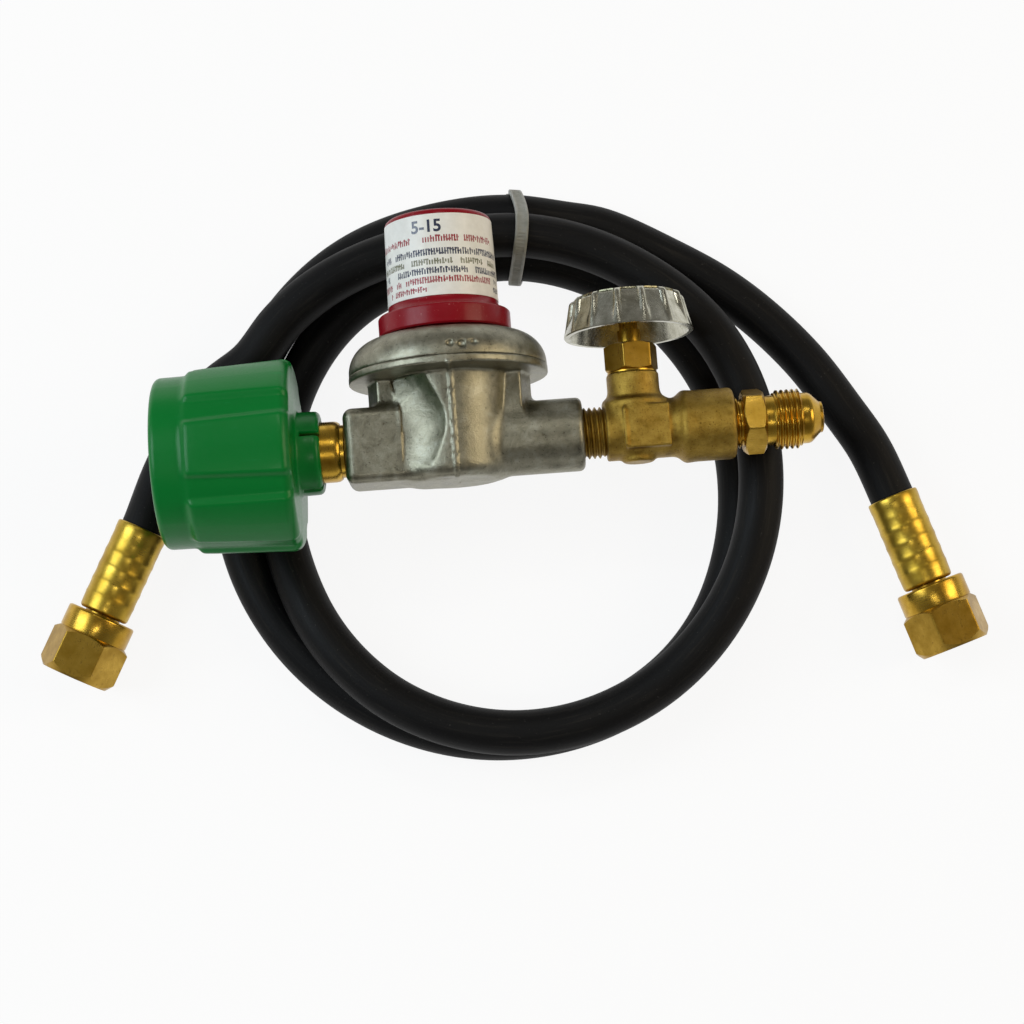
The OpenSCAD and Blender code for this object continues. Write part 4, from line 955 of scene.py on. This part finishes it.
fibre = grain(tree, 0.5, 5.0, 0.6)
print_layer = steps(tree, fibre, (0.3, tone(232, 230, 222)), (0.7, tone(243, 241, 234)))
NAVY, RED, OLIVE = tone(24, 34, 66), tone(150, 18, 38), tone(112, 112, 84)
STROKE_PITCH = 0.7
# Each line of print: its middle, half its height, where it starts and ends, its colour and seed.
# It is made of upright strokes of several heights, some joined, in groups with gaps between them
for middle, half, start, end, ink, seed in (
        (52.3, 0.95, -21, 17, RED, 3.0), (48.8, 0.95, -21, 20, NAVY, 208.0),
        (46.2, 0.85, -20, 19, OLIVE, 414.0), (43.8, 0.9, -21, 20, NAVY, 621.0),
        (41.35, 0.9, -21, 15.5, RED, 827.0), (38.95, 0.8, -16, -3.4, RED, 33.0),
        (41.6, 0.75, 16.6, 21, NAVY, 240.0), (39.3, 0.75, 16.6, 21, NAVY, 555.0)):
    cell = maths(tree, "MULTIPLY_ADD", x_mm, 1 / STROKE_PITCH, seed)
    column, part = (maths(tree, how, cell) for how in ("FLOOR", "FRACT"))
    rise = maths(tree, "DIVIDE", maths(tree, "SUBTRACT", y_mm, middle), half)
    chance = add(tree, "SeparateColor", {0: add(tree, "TexWhiteNoise", {"W": column},
                                                noise_dimensions="1D").outputs["Color"]}).outputs
    group = maths(tree, "FLOOR", maths(tree, "MULTIPLY_ADD", column, 0.37, 0.2))
    group = add(tree, "TexWhiteNoise", {"W": group}, noise_dimensions="1D").outputs["Value"]
    tall = maths(tree, "GREATER_THAN", chance[0], 0.3)
    deep = maths(tree, "GREATER_THAN", chance[1], 0.12)
    stroke = maths(tree, "MULTIPLY", within(tree, part, 0.1, 0.68), within(
        tree, rise, maths(tree, "MULTIPLY_ADD", deep, -0.5, -0.45),
        maths(tree, "MULTIPLY_ADD", tall, 0.45, 0.5)))
    from_joint = maths(tree, "SUBTRACT", rise, maths(tree, "MULTIPLY_ADD", chance[2], 1.6, -0.8))
    joint = maths(tree, "MULTIPLY", within(tree, from_joint, -0.24, 0.24),
                  maths(tree, "GREATER_THAN", chance[0], 0.25))
    share = maths(tree, "MAXIMUM", stroke, joint)
    for kept in (maths(tree, "GREATER_THAN", group, 0.1), within(tree, rise, -1.0, 1.0),
                 within(tree, x_mm, start, end), steps(tree, fibre, (0.3, 0.75), (0.6, 1.0))):
        share = maths(tree, "MULTIPLY", share, kept)
    print_layer = between(tree, share, print_layer, ink)
use(tree, skin, Base_Color=print_layer, Normal=dents(tree, fibre, 0.02))

# The front of the cap is at -90 degrees
turns = np.linspace(-3 * pi / 2, pi / 2, COLUMNS)
rows = ((LOW + 0.01, LOW_END), (LOW + SHEET - 0.01, LOW_END), (LOW + SHEET, 38.2),
        *[(label_radius(s), s) for s in (44.5, 51, 58)], (HIGH + SHEET - 0.01, HIGH_END),
        (HIGH + 0.01, HIGH_END))
sheet_points = [(r * cos(a), r * sin(a), s) for r, s in rows for a in turns]
wrap = [((a + pi / 2) * (LOW + HIGH) / 2, s) for _, s in rows for a in turns]
faces = grid_faces(len(rows), COLUMNS, turn=False)
last = (len(rows) - 1) * COLUMNS
faces += [[last + j, last + j + 1, j + 1, j] for j in range(COLUMNS - 1)]
label = piece("paper_label", sheet_points, faces, paper, capwise, wrap=wrap)
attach(label, "cap")
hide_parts("cap_label")

# The range is printed in plain numbers, navy, across the top of the label. They are cut into
# narrow strips so that they can bend round the cap
NUMBERS_UP, NUMBERS_LEFT, INK_THICK = 54.2, 3.0, 0.04
ink, tree, skin = finish("label_ink", Roughness=0.4, Coat_Weight=0.7, Coat_Roughness=0.12)
worn = grain(tree, 2.0, 3.0)
use(tree, skin, Base_Color=steps(tree, worn, (0.3, tone(22, 30, 58)), (0.75, tone(44, 52, 80))))
words = bpy.data.curves.new("numbers", "FONT")
words.body, words.size, words.align_x, words.offset = "5-15", 4.6, "CENTER", 0.12
words.resolution_u = 3
holder = bpy.data.objects.new("numbers", words)
scene.collection.objects.link(holder)
bpy.context.view_layer.update()
flat_numbers = bpy.data.meshes.new_from_object(
    holder.evaluated_get(bpy.context.evaluated_depsgraph_get()))
bpy.data.objects.remove(holder)
cutting = bmesh.new()
cutting.from_mesh(flat_numbers)
for place_x in np.arange(-9, 9, 0.4):
    bmesh.ops.bisect_plane(cutting, geom=cutting.verts[:] + cutting.edges[:] + cutting.faces[:],
                           plane_co=(place_x, 0, 0), plane_no=(1, 0, 0))
bmesh.ops.triangulate(cutting, faces=cutting.faces)
thick = bmesh.ops.extrude_face_region(cutting, geom=cutting.faces[:])
for v in [g for g in thick["geom"] if isinstance(g, bmesh.types.BMVert)]:
    v.co.z += INK_THICK
flat_points, faces = lifted(cutting)
points = []
for x, y, z in flat_points:
    r = label_radius(NUMBERS_UP + y) - 0.01 + z
    a = (x - NUMBERS_LEFT) / r - pi / 2
    points.append((r * cos(a), r * sin(a), NUMBERS_UP + y))
numbers = piece("label_numbers", points, faces, ink, capwise)
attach(numbers, "cap")


# ---- The needle valve ---------------------------------------------------------------------------
# A sand-cast brass valve body, screwed into the regulator's round port, with a raised pad on its
# face. A machined hexagon nut, 1/2 inch across its flats, holds the packing round the stem.

STEM, PACKING_FLATS = 48.8, 12.7


def valve_form(u, v, w):
    """u runs along the valve, v up its stem, w towards the eye"""
    across_run = np.hypot(v, w)
    around_stem = np.hypot(u - STEM, w)
    form = rod(7.8, 40.6, 62, across_run, u, 0.5)
    form = soft_join(form, rod(9.5, 60.6, 74.7, across_run, u, 1.3), 3.2)
    form = soft_join(form, rod(6.95, 0, 15, around_stem, v, 0.4), 3.4)
    form = soft_join(form, rod(8.3, 1, 7.8, around_stem, v, 1.0), 1.4)
    form = soft_join(form, rod(4.2, -8.7, 0, around_stem, v, 0.9), 1.2)
    pad = bar(u - 51.4, v, w - 4, (6.0, 5.7, 4.15), 0.5)
    form = soft_join(form, pad, 0.5)
    # A thin rib stands at the pad's left side and another where the bell begins
    for place, reach, out in ((45.6, 4.6, 8.0), (61.0, 6.0, np.sqrt(np.maximum(0.1, 75 - v**2)))):
        beyond_end = np.maximum(np.abs(v) - reach, 0)
        rib = np.sqrt((u - place)**2 + beyond_end**2 + (w - out)**2) - 0.55
        form = soft_join(form, rib, 0.5)
    form = np.maximum(form, -rod(6.9, 62.7, 76, across_run, u))
    form = np.maximum(form, -rod(2.2, 30, STEM + 1.2, np.hypot(v + 2.6, w), u))
    form = np.maximum(form, -rod(2.2, STEM, 64, np.hypot(v - 2.6, w), u))
    for r, low, high in ((1.4, -2.6, 1.6), (3.28, 0.6, 16), (5.05, 12, 16)):
        form = np.maximum(form, -rod(r, low, high, around_stem, v))
    return form


sand_cast, tree, skin = finish("sand_cast_brass", metallic=1.0)
sand = grain(tree, 1.9, 5.0, 0.75)
mottle = grain(tree, 0.3, 4.0, 0.6)
soot = steps(tree, grain(tree, 1.7, 4.0, 0.8), (0.33, 1), (0.43, 0))
metal = steps(tree, mottle, (0.3, tone(134, 106, 42)), (0.7, tone(176, 146, 68)))
use(tree, skin, Base_Color=between(tree, soot, metal, tone(96, 70, 30)),
    Roughness=steps(tree, sand, (0.3, 0.33), (0.7, 0.5)),
    Normal=dents(tree, sand, 0.16, dents(tree, mottle, 0.15)))
valve = cast("valve_casting", valve_form, (39.6, -9.8, -9.9), (75.6, 15.9, 9.9),
             0.36, sand_cast, standing)
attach(valve, "kit")
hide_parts("valve_body")

# The pipe thread that shows between the port and the valve is cut on the casting's own end
tail = turned("valve_pipe_thread", [(2.25, 25.5), (6.1, 25.5),
              *thread(25.6, 10.6, *PIPE_THREAD, fade=(0.5, 0.8)), (6.1, 40.62), (6.9, 40.9),
              (6.9, 41.6), (2.25, 41.6)], sand_cast, lengthwise, angles=96, sharp=28)
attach(tail, "kit")

stemwise = capwise.copy()
stemwise.translation.x += STEM * MM
flank = hexagon(PACKING_FLATS, 12, 0.3)
near = PACKING_FLATS / 2 - 0.12
packing = turned("packing_hexagon", [
    (3.25, 15.1), (5.0, 15.1), (5.9, 15.1), (6.6, 15.12), (6.6, 15.5), (near, 15.6),
    (flank, chamfer(flank, near, 15.7, 0.6)), (flank, chamfer(flank, near, 22.9, -0.6)),
    (near, 22.95), (5.4, 23.0), (3.9, 23.0), (3.25, 22.6)], [turned_brass, flat_brass], stemwise,
    angles=flank.angles, sharp=30,
    zones=lambda c: 1 if c.xy.length > 6.2 and 15.6 < c.z < 22.9 else 0)
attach(packing, "kit")
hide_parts("packing_nut")

graphite = plain_finish("packing_graphite", (1.5, 4.0), (38, 38, 40), (66, 66, 68), 0.5, 0.7, 0.03,
                        Specular_IOR_Level=0.4)
dress(graphite, "stem_packing")
dress(turned_brass, "valve_stem")


# ---- The handwheel ------------------------------------------------------------------------------
# A bright plated zinc wheel, open underneath, with fourteen flats that fade into a round rim and a
# narrow rib between each pair. A slotted steel screw with a domed head holds it on the stem.

WHEEL_LOW, WHEEL_HIGH, RIM, TOP, RIBS = 25.8, 35.9, 17.4, 15.15, 14


def rim(s, drop=0.0):
    """Outer radius of the wheel at a place along its stem, less drop: ribs stand over the flats"""
    crest = RIM + (TOP - RIM) * (s - WHEEL_LOW) / (WHEEL_HIGH - WHEEL_LOW) - drop

    def radius(a):
        off = degrees(a) % (360 / RIBS)
        off = min(off, 360 / RIBS - off)
        flat = (crest - 1.0) * cos(pi / RIBS) / cos(pi / RIBS - radians(off))
        rib = crest - 0.06 * off**2
        return crest + ease((s - WHEEL_LOW - 0.3) / 6.5) * (max(flat, rib) - crest)
    return radius


wheel_angles = angles_round(RIBS, 0, (0.001, 1.0, 1.9, 2.7, 3.3, 3.8, 4.4, 6.5, 9.5, 12.855))
plated, tree, skin = finish("plated_zinc", metallic=1.0)
ripple = grain(tree, 0.32, 3.0, 0.6)
scratch = grain(tree, 1.0, 4.0, 0.7, stretch=(0.6, 3.5, 0.6))
spots = steps(tree, grain(tree, 1.2, 3.0, 0.8), (0.62, 0), (0.7, 1))
metal = steps(tree, ripple, (0.3, tone(162, 160, 142)), (0.7, tone(206, 204, 188)))
use(tree, skin, Base_Color=between(tree, spots, metal, tone(128, 124, 116)),
    Roughness=steps(tree, scratch, (0.3, 0.18), (0.7, 0.3)),
    Normal=dents(tree, ripple, 0.03, dents(tree, scratch, 0.012)))
low, high = WHEEL_LOW, WHEEL_HIGH
wheel = turned("handwheel_rim", [
    (15.75, low + 0.15), (15.95, low), (rim(low, 0.25), low), (rim(low + 0.3), low + 0.3),
    (rim(low + 3), low + 3), (rim(low + 6), low + 6), (rim(high - 1.2), high - 1.2),
    (rim(high - 0.7, 0.1), high - 0.7), (rim(high - 0.25, 0.5), high - 0.25), (13.9, high),
    (12.5, high - 0.15), (11.0, high - 0.55), (5.6, high - 0.6), (4.6, high - 0.05), (2.55, high),
    (2.55, low + 6.2), (2.9, low + 6.0), (4.4, low + 6.0), (4.8, low + 6.4), (4.8, high - 2.6),
    (5.6, high - 2.0), (12.4, high - 1.95), (13.2, high - 2.8)], plated, stemwise,
    angles=wheel_angles, sharp=35)
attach(wheel, "wheel")
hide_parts("handwheel")
dress(spring_steel, "handwheel_screw")


# ---- The flare outlet ---------------------------------------------------------------------------
# A bright machined brass fitting, turned from hexagon bar: pipe thread into the valve's bell,
# hexagon, five flare threads, then a smooth nose that ends in a 45 degree cone with a bore.

OUTLET_FLATS = 15.875
flank = hexagon(OUTLET_FLATS, 20, 0.35)
near = OUTLET_FLATS / 2 - 0.12
outlet = turned("flare_fitting", [
    (3.2, 64.0), (6.1, 64.0), *thread(64.2, 8.6, *PIPE_THREAD, fade=(0.5, 0.4)),
    (6.1, 76.5), (6.4, 76.85), (7.3, 76.9), (near, 76.95),
    (flank, chamfer(flank, near, 77.05, 0.6)), (flank, chamfer(flank, near, 82.55, -0.6)),
    (near, 82.65), (7.2, 82.7), (6.8, 82.75), (6.65, 82.95), (6.65, 85.1), (6.75, 85.3),
    *thread(85.2, 5.1, *FLARE_THREAD, fade=(0.35, 0.35), land=0.2), (6.75, 92.5),
    (6.75, 93.6), *corner(4.75, 94.0, 2.0, 0, 45, 6), (4.2, 97.35),
    *corner(3.75, 97.65, 0.5, 50, 90, 2), (3.3, 98.3), (3.2, 98.15)],
    [turned_brass, flat_brass], lengthwise, angles=flank.angles, sharp=28,
    zones=lambda c: 1 if 77 < c.z < 82.6 and c.xy.length > 7.7 else 0)
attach(outlet, "kit")
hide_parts("flare_outlet")
